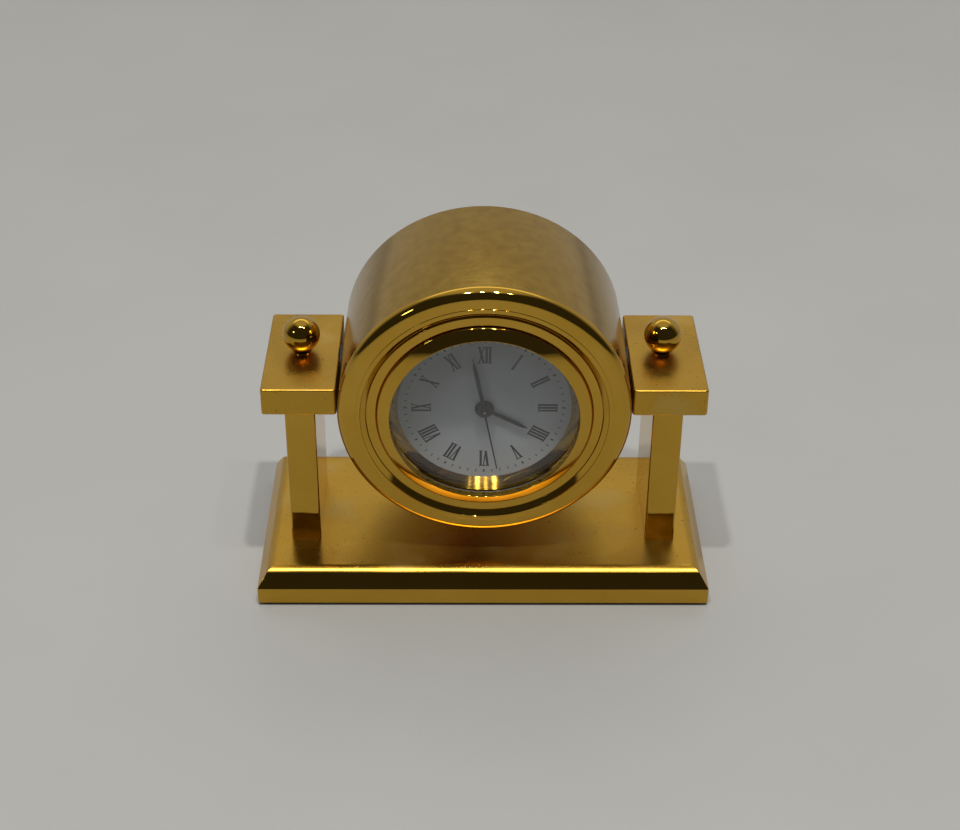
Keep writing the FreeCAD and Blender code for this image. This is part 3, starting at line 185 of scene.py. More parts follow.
def make_buffed_gold():
    material, tree, place = new_material("buffed_gold_plate")
    tint = toned(tree, spread(tree, place, 7.0), colour(GOLD), colour(GOLD_DEEP))
    gloss = ranged(tree, spread(tree, place, 2.5), (0.35, 0.75), BUFFED_ROUGHNESS)
    dished = relief(tree, spread(tree, place, WAVE_MM, 1.0), 0.3, 0.05)
    scratched = relief(tree, spread(tree, place, 0.25, 6.0), 0.012, 0.05, dished)
    close_opaque(tree, tint, gloss, scratched, Metallic=1.0)
    return material


buffed_gold = make_buffed_gold()
print("made", buffed_gold.name)

# %% [markdown]
# ## Brushed gold plate
# The outside of the drum was held against an abrasive belt while it turned, so its plating is covered
# in fine rings round the drum. They blur what it mirrors and make it look greener and greyer than the
# buffed parts. Real brush lines are about 0.05 mm apart. They are drawn about three times coarser here,
# so that they show at this distance.

# %% Make the brushed gold
BRUSHED_GOLD = "#BA9845"
BRUSHED_GOLD_DEEP = "#94712C"
BRUSHED_ROUGHNESS = (0.13, 0.22)
BRUSH_LINE_MM = 0.16
BRUSH_STRETCH = (0.02, 1.0, 0.02)


def make_brushed_gold():
    material, tree, place = new_material("brushed_gold_plate")
    stretched = add_node(tree, "ShaderNodeMapping", {"Vector": place, "Scale": BRUSH_STRETCH})
    lines = spread(tree, stretched.outputs["Vector"], BRUSH_LINE_MM, 4.0)
    tint = toned(tree, spread(tree, place, 1.6, 8.0), colour(BRUSHED_GOLD), colour(BRUSHED_GOLD_DEEP))
    gloss = ranged(tree, lines, (0.3, 0.7), BRUSHED_ROUGHNESS)
    close_opaque(tree, tint, gloss, relief(tree, lines, 0.5, 0.02), Metallic=1.0)
    return material


brushed_gold = make_brushed_gold()
print("made", brushed_gold.name)

# %% [markdown]
# ## Handled gold plate
# The top of the base and the capitals are buffed too, but they lie open to dust and fingers. Their
# mirror is dulled unevenly, fingers have left a pale film in places, and small brown specks have grown
# through the plating.

# %% Make the handled gold
TARNISH = "#5A3A12"
HAZY_GOLD = "#C49B3C"
HAZY_GOLD_DEEP = "#B98E33"
FINGER_FILM = "#C9AE68"
HANDLED_ROUGHNESS = (0.24, 0.42)
SPECK_MM = 0.5
FINGER_MM = 8.0


def make_handled_gold():
    material, tree, place = new_material("handled_gold_plate")
    tint = toned(tree, spread(tree, place, 4.0, 5.0), colour(HAZY_GOLD), colour(HAZY_GOLD_DEEP))
    specks = ranged(tree, spread(tree, place, SPECK_MM, 2.0), (0.66, 0.74), (0.0, 0.6))
    stained = toned(tree, specks, tint, colour(TARNISH))
    touched = spread(tree, place, FINGER_MM, 6.0)
    filmed = toned(tree, ranged(tree, touched, (0.56, 0.7), (0.0, 0.4)), stained, colour(FINGER_FILM))
    gloss = ranged(tree, touched, (0.35, 0.7), HANDLED_ROUGHNESS)
    grain = relief(tree, spread(tree, place, 0.35, 5.0), 0.08, 0.05)
    close_opaque(tree, filmed, gloss, grain, Metallic=1.0)
    return material


handled_gold = make_handled_gold()
print("made", handled_gold.name)

# %% [markdown]
# ## The other finishes
# The rest is simpler: each is one shader whose tone and gloss change a little across the surface. One
# function makes them from what the real one is. Typical values are an IOR of 1.5 for lacquer and moulded
# plastic, 1.52 for glass, and metallic 1 for bare metal.

# %% Make the other finishes
def make_finish(name, light, dark, rough, patch_mm, depth_mm=0.0, metallic=0.0, ior=1.5, **sockets):
    """One shader with two close tones, a range of roughness and a grain of a real size."""
    material, tree, place = new_material(name)
    grain = spread(tree, place, patch_mm, 4.0)
    tint = toned(tree, grain, colour(light), colour(dark))
    gloss = ranged(tree, grain, (0.3, 0.7), rough)
    if not metallic:
        sockets["IOR"] = ior
    close_opaque(tree, tint, gloss, relief(tree, grain, 0.3, depth_mm), Metallic=metallic, **sockets)
    return material


# Sprayed and lightly brushed lacquer: a cool white with a silky sheen. Its colour is written as a mid grey,
# darker than the white lacquer is, as painted shade of the dial sunk behind the rim and the glass
dial_white_and_painted_shade = make_finish("white_lacquer_dial_and_painted_shade", "#979CA1", "#92979B", (0.42, 0.5),
                           patch_mm=0.6, depth_mm=0.001)
# Printing ink: black, thin and slightly glossy
dial_ink = make_finish("black_dial_ink", "#0A0A0C", "#101013", (0.5, 0.6), patch_mm=0.3)
# Stoved black enamel on stamped brass: deep and even, with a soft highlight
hand_enamel = make_finish("black_hand_enamel", "#060607", "#0A0A0B", (0.5, 0.62), patch_mm=0.5)
# Free-cutting steel, turned: grey, with fine tool marks
turned_steel = make_finish("turned_steel", "#A9AAAC", "#909194", (0.22, 0.36),
                           patch_mm=0.12, depth_mm=0.004, metallic=1.0)
# Nickel-plated sheet, bright from the roll: the snap-on back, the cell and the quartz can
nickel_plate = make_finish("nickel_plated_sheet", "#C4C2BC", "#B3B1AB", (0.14, 0.26),
                           patch_mm=1.5, depth_mm=0.002, metallic=1.0)
# Pressed brass, barrel finished: the plates and the centre wheel
pressed_brass = make_finish("pressed_brass", "#C7A55C", "#B08F49", (0.26, 0.38),
                            patch_mm=0.3, depth_mm=0.004, metallic=1.0)
# Enamelled copper wire, so finely wound that it reads as one satin skin
copper_wire = make_finish("enamelled_copper_wire", "#9C4F2A", "#7A3A1D", (0.28, 0.42),
                          patch_mm=0.08, depth_mm=0.01, metallic=0.6)
# Nitrile rubber: black and matt, with a bloom of dust
nitrile_rubber = make_finish("nitrile_rubber", "#17171A", "#222225", (0.62, 0.8),
                             patch_mm=0.25, depth_mm=0.006)
# Acetal: the white plastic of the wheels, slightly waxy
acetal = make_finish("white_acetal", "#DAD8D0", "#CFCCC2", (0.3, 0.42),
                     patch_mm=0.4, depth_mm=0.002, ior=1.48)
# Glass-filled nylon: the black holder of the movement, with a fine moulded texture
filled_nylon = make_finish("black_filled_nylon", "#1B1B1D", "#28282B", (0.5, 0.68),
                           patch_mm=0.2, depth_mm=0.008, ior=1.53)
# Glass-fibre board under green solder resist
board_resist = make_finish("green_board_resist", "#1B5A33", "#16492A", (0.3, 0.45),
                           patch_mm=0.5, depth_mm=0.003, ior=1.52)
# Pressed wool felt: short fibres in every direction
wool_felt = make_finish("green_wool_felt", "#1F3D2B", "#12281B", (0.92, 1.0), patch_mm=0.3, depth_mm=0.12,
                        **{"Sheen Weight": 0.4, "Sheen Roughness": 0.5})


def make_mineral_glass():
    """Flat mineral glass: clear, colourless and perfectly smooth; its shadow lets the light through."""
    material, tree, _ = new_material("mineral_glass")
    glass = add_node(tree, "ShaderNodeBsdfPrincipled", {
        "Base Color": colour("#FFFFFF"), "Roughness": 0.0, "IOR": 1.52, "Transmission Weight": 1.0})
    see_through = add_node(tree, "ShaderNodeBsdfTransparent")
    ray = add_node(tree, "ShaderNodeLightPath")
    mix = add_node(tree, "ShaderNodeMixShader", {"Fac": ray.outputs["Is Shadow Ray"]})
    tree.links.new(glass.outputs[0], mix.inputs[1])
    tree.links.new(see_through.outputs[0], mix.inputs[2])
    close_material(tree, mix)
    return material


mineral_glass = make_mineral_glass()
print(f"{len(bpy.data.materials)} materials")

# %% [markdown]
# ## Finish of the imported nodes
# Pieces that hardly show, such as the movement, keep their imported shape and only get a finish.

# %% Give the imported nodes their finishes
FINISHES = {
    wool_felt: ["base_felt"],
    turned_steel: ["left_post_screw", "right_post_screw", "left_pivot_pin", "right_pivot_pin",
                   "bridge_screws", "stator", "coil_core", "battery_clamp", "cannon_pinion",
                   "setting_wheel", "setting_slider", "stem"],
    pressed_brass: ["left_pivot_bush", "right_pivot_bush", "main_plate", "train_bridge", "centre_wheel"],
    nitrile_rubber: ["left_friction_washer", "right_friction_washer", "grip_ring", "crystal_gasket"],
    nickel_plate: ["insert_back", "button_cell", "quartz_can"],
    copper_wire: ["coil"],
    filled_nylon: ["movement_holder", "rotor"],
    board_resist: ["circuit_board"],
    acetal: ["fourth_wheel", "third_wheel", "intermediate_wheel", "minute_wheel", "hour_wheel"],
    dial_white_and_painted_shade: ["dial"],
    buffed_gold: ["crown"],
}


def coat(item, *materials):
    """Put materials in an object's slots, in the order in which its faces number them."""
    if item.data.materials:
        item.data.materials.clear()
    for material in materials:
        item.data.materials.append(material)


for finish, names in FINISHES.items():
    for name in names:
        coat(nodes[name], finish)
print("finished", sum(len(names) for names in FINISHES.values()), "packed nodes")

# %% [markdown]
# ## Where the case is
# The case nods forward on its pins. Everything on it is drawn upright about its own axis, which runs
# along Y, and is then turned with the lean. The lean and the axis are read from the hand's joint.

# %% Read the case's axis and lean
joints = {joint["name"]: joint for joint in frame["joints"]}
hand_joint = joints["second_hand_turn"]
CASE_LEAN = math.atan2(hand_joint["axis"][2], hand_joint["axis"][1])
case_place = Matrix.Translation(hand_joint["pos_m"]) @ Matrix.Rotation(CASE_LEAN, 4, "X")
print(f"case leans {math.degrees(CASE_LEAN):.1f} degrees")

# %% [markdown]
# ## Turning a piece on the lathe
# Rings, the drum and the balls are turned. On a lathe a piece is drawn as half of its section and spun
# round. The section here is a list of corners, each with a radius, a place along the axis and a
# rounding; the function puts an arc in each rounded corner and spins the line into a closed mesh. Blender
# could bevel the edges of a plain ring instead, but a drawn section keeps every land and lip at its size.

# %% A section with rounded corners, and the lathe
ARC_STEPS = 10
TURNS = 256
CREASE = math.radians(25)
ON_AXIS = 1e-6


def rounded(corners):
    """Points of a section whose corners (radius, depth, rounding) in millimetres get true arcs."""
    points = []
    for index, (r, y, rounding) in enumerate(corners):
        here = Vector((r, y))
        before = Vector(corners[index - 1][:2]) - here
        after = Vector(corners[(index + 1) % len(corners)][:2]) - here
        if not rounding:
            points.append(here)
            continue
        half = before.angle(after) / 2
        reach = rounding / math.tan(half)
        start = here + before.normalized() * reach
        end = here + after.normalized() * reach
        middle = here + (before.normalized() + after.normalized()).normalized() * rounding / math.sin(half)
        first = start - middle
        sweep = first.angle_signed(end - middle)
        for step in range(ARC_STEPS + 1):
            part = first.copy()
            part.rotate(Matrix.Rotation(-sweep * step / ARC_STEPS, 2))
            points.append(middle + part)
    return points


def smooth(mesh):
    """Shade smooth, but keep an edge where two faces meet at more than the crease angle."""
    mesh.shade_smooth()
    mesh.set_sharp_from_angle(angle=CREASE)


def show(name, work, body, place, *materials):
    """Close a finished shape into an object with its place and materials, and tie it to its body."""
    bmesh.ops.recalc_face_normals(work, faces=work.faces)
    mesh = bpy.data.meshes.new(name)
    work.to_mesh(mesh)
    work.free()
    smooth(mesh)
    item = bpy.data.objects.new(name, mesh)
    bpy.context.scene.collection.objects.link(item)
    item.matrix_world = place
    coat(item, *materials)
    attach(item, body)
    return item


def lathe(name, corners, body, *materials, pick=None, place=case_place, turns=TURNS):
    """Spin a rounded section about the Y axis. pick(r, y) gives a face's material number."""
    section = rounded(corners)
    work = bmesh.new()
    rows = []
    for r, y in section:
        if r < ON_AXIS:
            rows.append([work.verts.new((0, y * MM, 0))] * turns)
            continue
        angles = [math.tau * k / turns for k in range(turns)]
        rows.append([work.verts.new((r * MM * math.sin(a), y * MM, r * MM * math.cos(a))) for a in angles])
    for index, row in enumerate(rows):
        following = rows[(index + 1) % len(rows)]
        middle = (section[index] + section[(index + 1) % len(section)]) / 2
        if row[0] is row[1] and following[0] is following[1]:
            continue
        for k in range(turns):
            ring = [row[k], row[(k + 1) % turns], following[(k + 1) % turns], following[k]]
            face = work.faces.new(list(dict.fromkeys(ring)))
            face.material_index = pick(*middle) if pick else 0
    print(f"{name}: {len(section)} points in the section")
    return show(name, work, body, place, *materials)


# %% [markdown]
# ## The drum
# The drum is one turned piece: a brushed barrel, a broad roll round the front that was buffed until it
# mirrors, two flat lands with a fine step between them, and a cone that leads in to the insert. It was
# turned with a little draft, so its back is slightly smaller. Its section is drawn from the case's own
# middle, so that minus is the front.

# %% Turn the drum
DRUM_RADIUS = 20.05
DRUM_REAR_RADIUS = 19.8
DRUM_HALF = 11.7
DRUM_WALL = 1.6
FRONT_WALL = 2.6
EDGE_ROLL = 1.55
MOUTH_RADIUS = 16.16
MOUTH_DEPTH = 0.58
LIP_RADIUS = 16.9
LIP_STEP = 0.12
LAND_RADIUS = 17.5
LAND_STEP = 0.08
SEAT_Y = -10.25
BORE_RADIUS = 14.35
COVER_SEAT = 19.02
COVER_THICKNESS = 1.5
LIP_SLOPE = 0.06
LAND_SLOPE = 0.03
LAND_ROUND = 0.06
REAR_ROUND = 0.25
BRUSHED_OUTSIDE = DRUM_REAR_RADIUS - 0.1
BRUSHED_BEHIND = EDGE_ROLL - DRUM_HALF - 0.01


def drum_finish(r, y):
    """Brushed outside the roll; buffed on the front and in the mouth."""
    return 1 if r > BRUSHED_OUTSIDE and y > BRUSHED_BEHIND else 0


drum = lathe("drum", [
    (BORE_RADIUS, SEAT_Y, 0),
    (MOUTH_RADIUS, SEAT_Y, 0),
    (MOUTH_RADIUS, MOUTH_DEPTH - DRUM_HALF, LAND_ROUND),
    (LIP_RADIUS - LIP_SLOPE, LIP_STEP - DRUM_HALF, 0),
    (LIP_RADIUS, -DRUM_HALF, LAND_ROUND),
    (LAND_RADIUS, -DRUM_HALF, LAND_ROUND),
    (LAND_RADIUS + LAND_SLOPE, LAND_STEP - DRUM_HALF, 0),
    (DRUM_RADIUS, LAND_STEP - DRUM_HALF, EDGE_ROLL),
    (DRUM_RADIUS, 0, 0),
    (DRUM_REAR_RADIUS, DRUM_HALF, REAR_ROUND),
    (COVER_SEAT, DRUM_HALF, 0),
    (COVER_SEAT, DRUM_HALF - COVER_THICKNESS, 0),
    (DRUM_RADIUS - DRUM_WALL, DRUM_HALF - COVER_THICKNESS, 0),
    (DRUM_RADIUS - DRUM_WALL, FRONT_WALL - DRUM_HALF, 0),
    (BORE_RADIUS, FRONT_WALL - DRUM_HALF, 0),
], "case", buffed_gold, brushed_gold, pick=drum_finish)
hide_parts("case_barrel")

# %% [markdown]
# ## The rear cover
# A disc closes the back. Someone who changes the cell pushes the insert out through its round hole.

# %% Turn the rear cover
PUSH_HOLE = 6.5
COVER_ROUND = 0.4
COVER_RADIUS = COVER_SEAT - 0.02
rear_cover = lathe("rear_disc", [
    (PUSH_HOLE, DRUM_HALF - COVER_THICKNESS, 0),
    (COVER_RADIUS, DRUM_HALF - COVER_THICKNESS, 0),
    (COVER_RADIUS, DRUM_HALF, COVER_ROUND),
    (PUSH_HOLE, DRUM_HALF, COVER_ROUND),
], "case", brushed_gold)
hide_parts("rear_cover")

# %% [markdown]
# ## The insert's shell
# The clock sits in a gilt cup: a flat flange, then across a sharp crease a domed rim that rises to the
# glass, and behind the glass a sloping ring that leads the eye down to the dial. All of it is buffed.

# %% Turn the bezel and the ring above the dial
APERTURE = 12.9
CUP_WALL = 0.75
CUP_INNER = APERTURE + 0.45
CUP_OUTER = CUP_INNER + CUP_WALL
FLANGE = CUP_OUTER + 2.0
FLANGE_FRONT = SEAT_Y - 1.0
BEAD_FRONT = FLANGE_FRONT - 1.1
BEAD_RADIUS = APERTURE + 1.72
BEAD_SIDE = FLANGE_FRONT - 0.33
BEAD_SLOPE = 0.06
BEAD_ROUND = 0.32
RIM_ROUND = 0.08
FLANGE_ROUND = 0.2
CREASE_WIDTH = 0.2
CREASE_DEPTH = 0.2
CREASE_ROUND = 0.04
GRIP_START = SEAT_Y + 0.2
GRIP_END = GRIP_START + 0.8
GRIP_FLOOR = CUP_OUTER - 0.35
CRYSTAL_BACK = FLANGE_FRONT + 0.9
DIAL_FRONT = CRYSTAL_BACK + 1.68
DIAL_BACK = DIAL_FRONT + 0.3
DIAL_OPENING = APERTURE - 1.02
SHOULDER_BACK = DIAL_BACK + 0.8
CUP_END = SHOULDER_BACK + 3.8
REAR_INNER = 10.65
REAR_OUTER = REAR_INNER + CUP_WALL
RING_RADIUS = CUP_INNER - 0.02

bezel = lathe("insert_shell", [
    (APERTURE, BEAD_FRONT, RIM_ROUND),
    (BEAD_RADIUS - BEAD_SLOPE, BEAD_SIDE, BEAD_ROUND),
    (BEAD_RADIUS, FLANGE_FRONT + CREASE_DEPTH, 0),
    (BEAD_RADIUS + CREASE_WIDTH, FLANGE_FRONT, CREASE_ROUND),
    (FLANGE, FLANGE_FRONT, FLANGE_ROUND),
    (FLANGE, SEAT_Y, 0),
    (CUP_OUTER, SEAT_Y, 0),
    (CUP_OUTER, GRIP_START, 0),
    (GRIP_FLOOR, GRIP_START, 0),
    (GRIP_FLOOR, GRIP_END, 0),
    (CUP_OUTER, GRIP_END, 0),
    (CUP_OUTER, SHOULDER_BACK, 0),
    (REAR_OUTER, SHOULDER_BACK, 0),
    (REAR_OUTER, CUP_END, 0),
    (REAR_INNER, CUP_END, 0),
    (REAR_INNER, DIAL_BACK, 0),
    (CUP_INNER, DIAL_BACK, 0),
    (CUP_INNER, FLANGE_FRONT, 0),
    (APERTURE, FLANGE_FRONT, 0),
], "insert", buffed_gold)
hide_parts("insert_bezel")

dial_wall = lathe("sloping_ring", [
    (APERTURE, CRYSTAL_BACK, 0),
    (RING_RADIUS, CRYSTAL_BACK, 0),
    (RING_RADIUS, DIAL_FRONT, 0),
    (DIAL_OPENING, DIAL_FRONT, 0),
], "insert", buffed_gold)
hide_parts("dial_ring")

# %% [markdown]
# ## The glass
# A flat round glass lies behind the bead. It needs both faces, because light bends where it goes in and
# again where it comes out.

# %% Make the glass
GLASS_RADIUS = CUP_INNER - 0.3
GLASS_FRONT = FLANGE_FRONT + 0.01
glass = lathe("watch_glass", [
    (0, GLASS_FRONT, 0),
    (GLASS_RADIUS, GLASS_FRONT, 0),
    (GLASS_RADIUS, CRYSTAL_BACK, 0),
    (0, CRYSTAL_BACK, 0),
], "insert", mineral_glass)
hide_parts("crystal")

# %% [markdown]
# ## Cutting a block
# The base, the posts and the capitals are cut from bar and their edges are broken or moulded. A piece
# like that is a stack of rectangles: each has a height and a distance inside the outline. The function
# stacks them, with rounded corners in plan, and closes the top and the bottom. A cube with a bevel
# modifier would do for the capitals, but not for the moulding that runs round the base.

# %% Stack rounded rectangles
CORNER_STEPS = 8
LEAST_BEND = 0.02
MOST_WEIGHT = 100


def true_flats(item):
    """Let flat faces keep their own direction, so that a mirror-bright flat doesn't look dished."""
    steady = item.modifiers.new("true_flats", "WEIGHTED_NORMAL")
    steady.keep_sharp = True
    steady.weight = MOST_WEIGHT


def block(name, low, high, profile, corner, body, *materials, pick=None):
    """Stack rectangles inside low and high. profile lists (inset, height, rounding) in millimetres."""
    work = bmesh.new()
    loops = []
    heights = []
    for inset, z in rounded(profile):
        bend = max(corner - inset, LEAST_BEND) * MM
        half_x = (high.x - low.x) / 2 - inset * MM - bend
        half_y = (high.y - low.y) / 2 - inset * MM - bend
        ring = []
        for quarter, (sx, sy) in enumerate([(1, 1), (-1, 1), (-1, -1), (1, -1)]):
            for step in range(CORNER_STEPS + 1):
                angle = math.pi / 2 * (quarter + step / CORNER_STEPS)
                x = (low.x + high.x) / 2 + sx * half_x + bend * math.cos(angle)
                y = (low.y + high.y) / 2 + sy * half_y + bend * math.sin(angle)
                ring.append(work.verts.new((x, y, z * MM)))
        loops.append(ring)
        heights.append(z)
    count = len(loops[0])
    for index in range(len(loops) - 1):
        for k in range(count):
            face = work.faces.new([loops[index][k], loops[index][(k + 1) % count],
                                   loops[index + 1][(k + 1) % count], loops[index + 1][k]])
            face.material_index = pick((heights[index] + heights[index + 1]) / 2) if pick else 0
    bottom = work.faces.new(loops[0][::-1])
    top = work.faces.new(loops[-1])
    for face in (bottom, top):
        face.material_index = pick(face.verts[0].co.z / MM) if pick else 0
    item = show(name, work, body, Matrix.Identity(4), *materials)
    true_flats(item)
    print(f"{name}: {len(item.data.vertices)} points")
    return item


# %% [markdown]
# ## The base
# The base is a heavy brass plate: an upright edge, then a bevel that leans in and rolls over to the flat
# top. The edge and bevel are buffed; the flat top and the end of the roll are what fingers touch.

# %% Cut the base
EDGE_HEIGHT = 2.5
EDGE_ROUND = 0.15
CROWN_INSET = 1.67
CROWN_ROUND = 1.8
TOP_INSET = 3.4
WORN_DEPTH = 0.5
ARRIS = 0.12
BASE_CORNER = 0.25
base_low, base_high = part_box("base_plate")
BASE_BOTTOM = base_low.z / MM
BASE_TOP = base_high.z / MM


def base_finish(z):
    """Handled near the top, buffed below."""
    return 1 if z > BASE_TOP - WORN_DEPTH else 0


base = block("moulded_base", base_low, base_high, [
    (ARRIS, BASE_BOTTOM, 0),
    (0.0, BASE_BOTTOM + ARRIS, 0),
    (0.0, BASE_BOTTOM + EDGE_HEIGHT, EDGE_ROUND),
    (CROWN_INSET, BASE_TOP, CROWN_ROUND),
    (TOP_INSET, BASE_TOP, 0),
], BASE_CORNER, "stand", buffed_gold, handled_gold, pick=base_finish)
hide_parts("base_plate")

# %% [markdown]
# ## Posts, capitals and balls
# Each side has a flat post, a thick block on it, and a turned ball on a small collar. The ball's stud
# goes down through the block into the post and pulls the three together. The studs have some play in
# the blocks, so neither ball sits quite in the middle.

# %% Cut the posts and the capitals
POST_ROUND = 0.3
CAPITAL_ROUND = 0.25
CAPITAL_CORNER = 0.45
for side in ("left", "right"):
    low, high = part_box(f"{side}_post")
    post = block(f"{side}_flat_post", low, high, [
        (0.0, low.z / MM, 0),
        (0.0, high.z / MM, 0),
    ], POST_ROUND, "stand", buffed_gold)
    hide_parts(f"{side}_post")
    low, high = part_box(f"{side}_capital")
    capital = block(f"{side}_top_block", low, high, [
        (CAPITAL_ROUND * 2, low.z / MM, 0),
        (0.0, low.z / MM, CAPITAL_ROUND),
        (0.0, high.z / MM, CAPITAL_ROUND),
        (CAPITAL_ROUND * 2, high.z / MM, 0),
    ], CAPITAL_CORNER, "stand", handled_gold)
    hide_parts(f"{side}_capital")

# %% Turn the balls
BALL_RADIUS = 2.6
COLLAR_RADIUS = 1.35
COLLAR_HEIGHT = 0.2
COLLAR_ROUND = 0.08
STUD_RADIUS = 1.0
BALL_SINK = 0.16
BALL_STEPS = 48
BALL_TURNS = 96
OFF_CENTRE = {"left": -0.13, "right": -0.42}
for side in ("left", "right"):
    low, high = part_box(f"{side}_finial")
    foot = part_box(f"{side}_capital")[1].z / MM
    centre = high.z / MM - BALL_RADIUS
    start = math.acos((BALL_RADIUS - BALL_SINK) / BALL_RADIUS)
    arc = []
    for step in range(BALL_STEPS + 1):
        angle = start + (math.pi - start) * step / BALL_STEPS
        arc.append((max(BALL_RADIUS * math.sin(angle), 0.0), centre - BALL_RADIUS * math.cos(angle), 0))
    middle = (low.x + high.x) / 2 + OFF_CENTRE[side] * MM
    stand_up = Matrix.Translation((middle, 0, 0)) @ Matrix.Rotation(math.pi / 2, 4, "X")
    ball = lathe(f"{side}_ball", [
        (0.0, low.z / MM, 0),
        (STUD_RADIUS, low.z / MM, 0),
        (STUD_RADIUS, foot, 0),
        (COLLAR_RADIUS, foot, 0),
        (COLLAR_RADIUS, foot + COLLAR_HEIGHT, COLLAR_ROUND),
        *arc,
    ], "stand", buffed_gold, place=stand_up, turns=BALL_TURNS)
    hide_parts(f"{side}_finial")

# %% [markdown]
# ## The printed dial
# The dial carries black Roman numerals that all stand on a ring, feet to the centre, with IIII for four
# as on most clocks, and a minute track outside them. Each stroke is a thin bar of ink on the lacquer.
# Text objects would be quicker, but a font's strokes are neither this thin nor this tall.

# %% Strokes of ink on the dial
INK_UNDER = 0.004
INK_OVER = 0.012
INK_LAYER = 0.001
HOUR_STEP = math.radians(30)
ink = bmesh.new()


def stroke(start, end, width, hour, level=0):
    """A bar of ink from start to end. Both are (across, out) in millimetres, as seen at that hour."""
    turn = HOUR_STEP * hour
    out = Vector((math.sin(turn), math.cos(turn)))
    across = Vector((math.cos(turn), -math.sin(turn)))
    a, b = (across * p[0] + out * p[1] for p in (start, end))
    side = (b - a).normalized().orthogonal() * width / 2
    front = DIAL_FRONT - INK_OVER - INK_LAYER * level
    back = DIAL_FRONT + INK_UNDER
    corners = [a + side, a - side, b - side, b + side]
    near = [ink.verts.new((p.x * MM, front * MM, p.y * MM)) for p in corners]
    far = [ink.verts.new((p.x * MM, back * MM, p.y * MM)) for p in corners]
    ink.faces.new(near)
    ink.faces.new(far[::-1])
    for k in range(4):
        ink.faces.new([near[k], far[k], far[(k + 1) % 4], near[(k + 1) % 4]])


# %% Print the numerals
NUMERAL_FOOT = 7.38
NUMERAL_HEAD = 9.9
THICK = 0.3
THIN = 0.15
SERIF = 0.15
SERIF_PAST_V = 0.08
SERIF_PAST_X = 0.06
SERIF_INTO_X = 0.34
LETTER_WIDTH = {"I": 0.47, "V": 0.9, "X": 0.9}
NUMERALS = ["XII", "I", "II", "III", "IIII", "V", "VI", "VII", "VIII", "IX", "X", "XI"]


def print_numeral(letters, hour):
    left = -sum(LETTER_WIDTH[letter] for letter in letters) / 2
    for letter in letters:
        width = LETTER_WIDTH[letter]
        middle = left + width / 2
        right_side = left + width
        if letter == "I":
            stroke((middle, NUMERAL_FOOT), (middle, NUMERAL_HEAD), THICK, hour)
            stroke((left, NUMERAL_FOOT), (right_side, NUMERAL_FOOT), SERIF, hour, 1)
            stroke((left, NUMERAL_HEAD), (right_side, NUMERAL_HEAD), SERIF, hour, 1)
        if letter == "V":
            stroke((left + THICK / 2, NUMERAL_HEAD), (middle, NUMERAL_FOOT), THICK, hour)
            stroke((right_side - THIN, NUMERAL_HEAD), (middle, NUMERAL_FOOT), THIN, hour, 2)
            stroke((left - SERIF_PAST_V, NUMERAL_HEAD), (right_side + SERIF_PAST_V, NUMERAL_HEAD),
                   SERIF, hour, 1)
        if letter == "X":
            stroke((left + THICK / 2, NUMERAL_HEAD), (right_side - THICK / 2, NUMERAL_FOOT), THICK, hour)
            stroke((right_side - THIN, NUMERAL_HEAD), (left + THIN, NUMERAL_FOOT), THIN, hour, 2)
            for height in (NUMERAL_FOOT, NUMERAL_HEAD):
                stroke((left - SERIF_PAST_X, height), (left + SERIF_INTO_X, height), SERIF, hour, 1)
                stroke((right_side - SERIF_INTO_X, height), (right_side + SERIF_PAST_X, height),
                       SERIF, hour, 1)
        left += width


for hour, letters in enumerate(NUMERALS):
    print_numeral(letters, hour)
print(f"{len(NUMERALS)} numerals")

# %% Print the minute track
TRACK_INNER = 10.62
TRACK_OUTER = 11.02
HOUR_MARK = 0.24
MINUTE_MARK = 0.13
for minute in range(60):
    width = MINUTE_MARK if minute % 5 else HOUR_MARK
    stroke((0, TRACK_INNER), (0, TRACK_OUTER), width, minute / 5)

print(f"{len(ink.faces)} faces of ink")
ink_mesh = bpy.data.meshes.new("dial_print")
bmesh.ops.recalc_face_normals(ink, faces=ink.faces)
ink.to_mesh(ink_mesh)
ink.free()
dial_print = bpy.data.objects.new("dial_print", ink_mesh)
bpy.context.scene.collection.objects.link(dial_print)
dial_print.matrix_world = case_place
coat(dial_print, dial_ink)
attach(dial_print, "insert")

# %% [markdown]
# ## The hands
# The hands are stamped from thin brass and enamelled black. Each is a straight blade with a short point
# on a round boss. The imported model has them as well, but with longer points that fade away at this
# distance; here each is one outline, pushed back to the thickness of the sheet.

# %% Stamp the hands
BOSS_STEPS = 48


def stamp(side, body, clock_angle, boss, blade, front, thickness):
    """A hand: degrees clockwise from twelve, the boss's radius, and a blade of (distance out, half width)."""
    turn = math.radians(clock_angle)
    out = Vector((math.sin(turn), math.cos(turn)))
    across = Vector((math.cos(turn), -math.sin(turn)))
    first = math.asin(blade[0][1] / boss)
    outline = [across * half + out * reach for reach, half in blade]
    outline += [out * reach - across * half for reach, half in reversed(blade) if half]
    for step in range(1, BOSS_STEPS):
        angle = -first - (math.tau - 2 * first) * step / BOSS_STEPS
        outline.append(out * boss * math.cos(angle) + across * boss * math.sin(angle))
    work = bmesh.new()
    rows = [[work.verts.new((p.x * MM, y * MM, p.y * MM)) for p in outline]
            for y in (front, front + thickness)]
    work.faces.new(rows[0])
    work.faces.new(rows[1][::-1])
    for k in range(len(outline)):
        following = (k + 1) % len(outline)
        work.faces.new([rows[0][k], rows[1][k], rows[1][following], rows[0][following]])
    item = show(f"{side}_blade", work, body, case_place, hand_enamel)
    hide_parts(f"{side}_hand")
    print(f"{side} hand: {len(outline)} points round it")


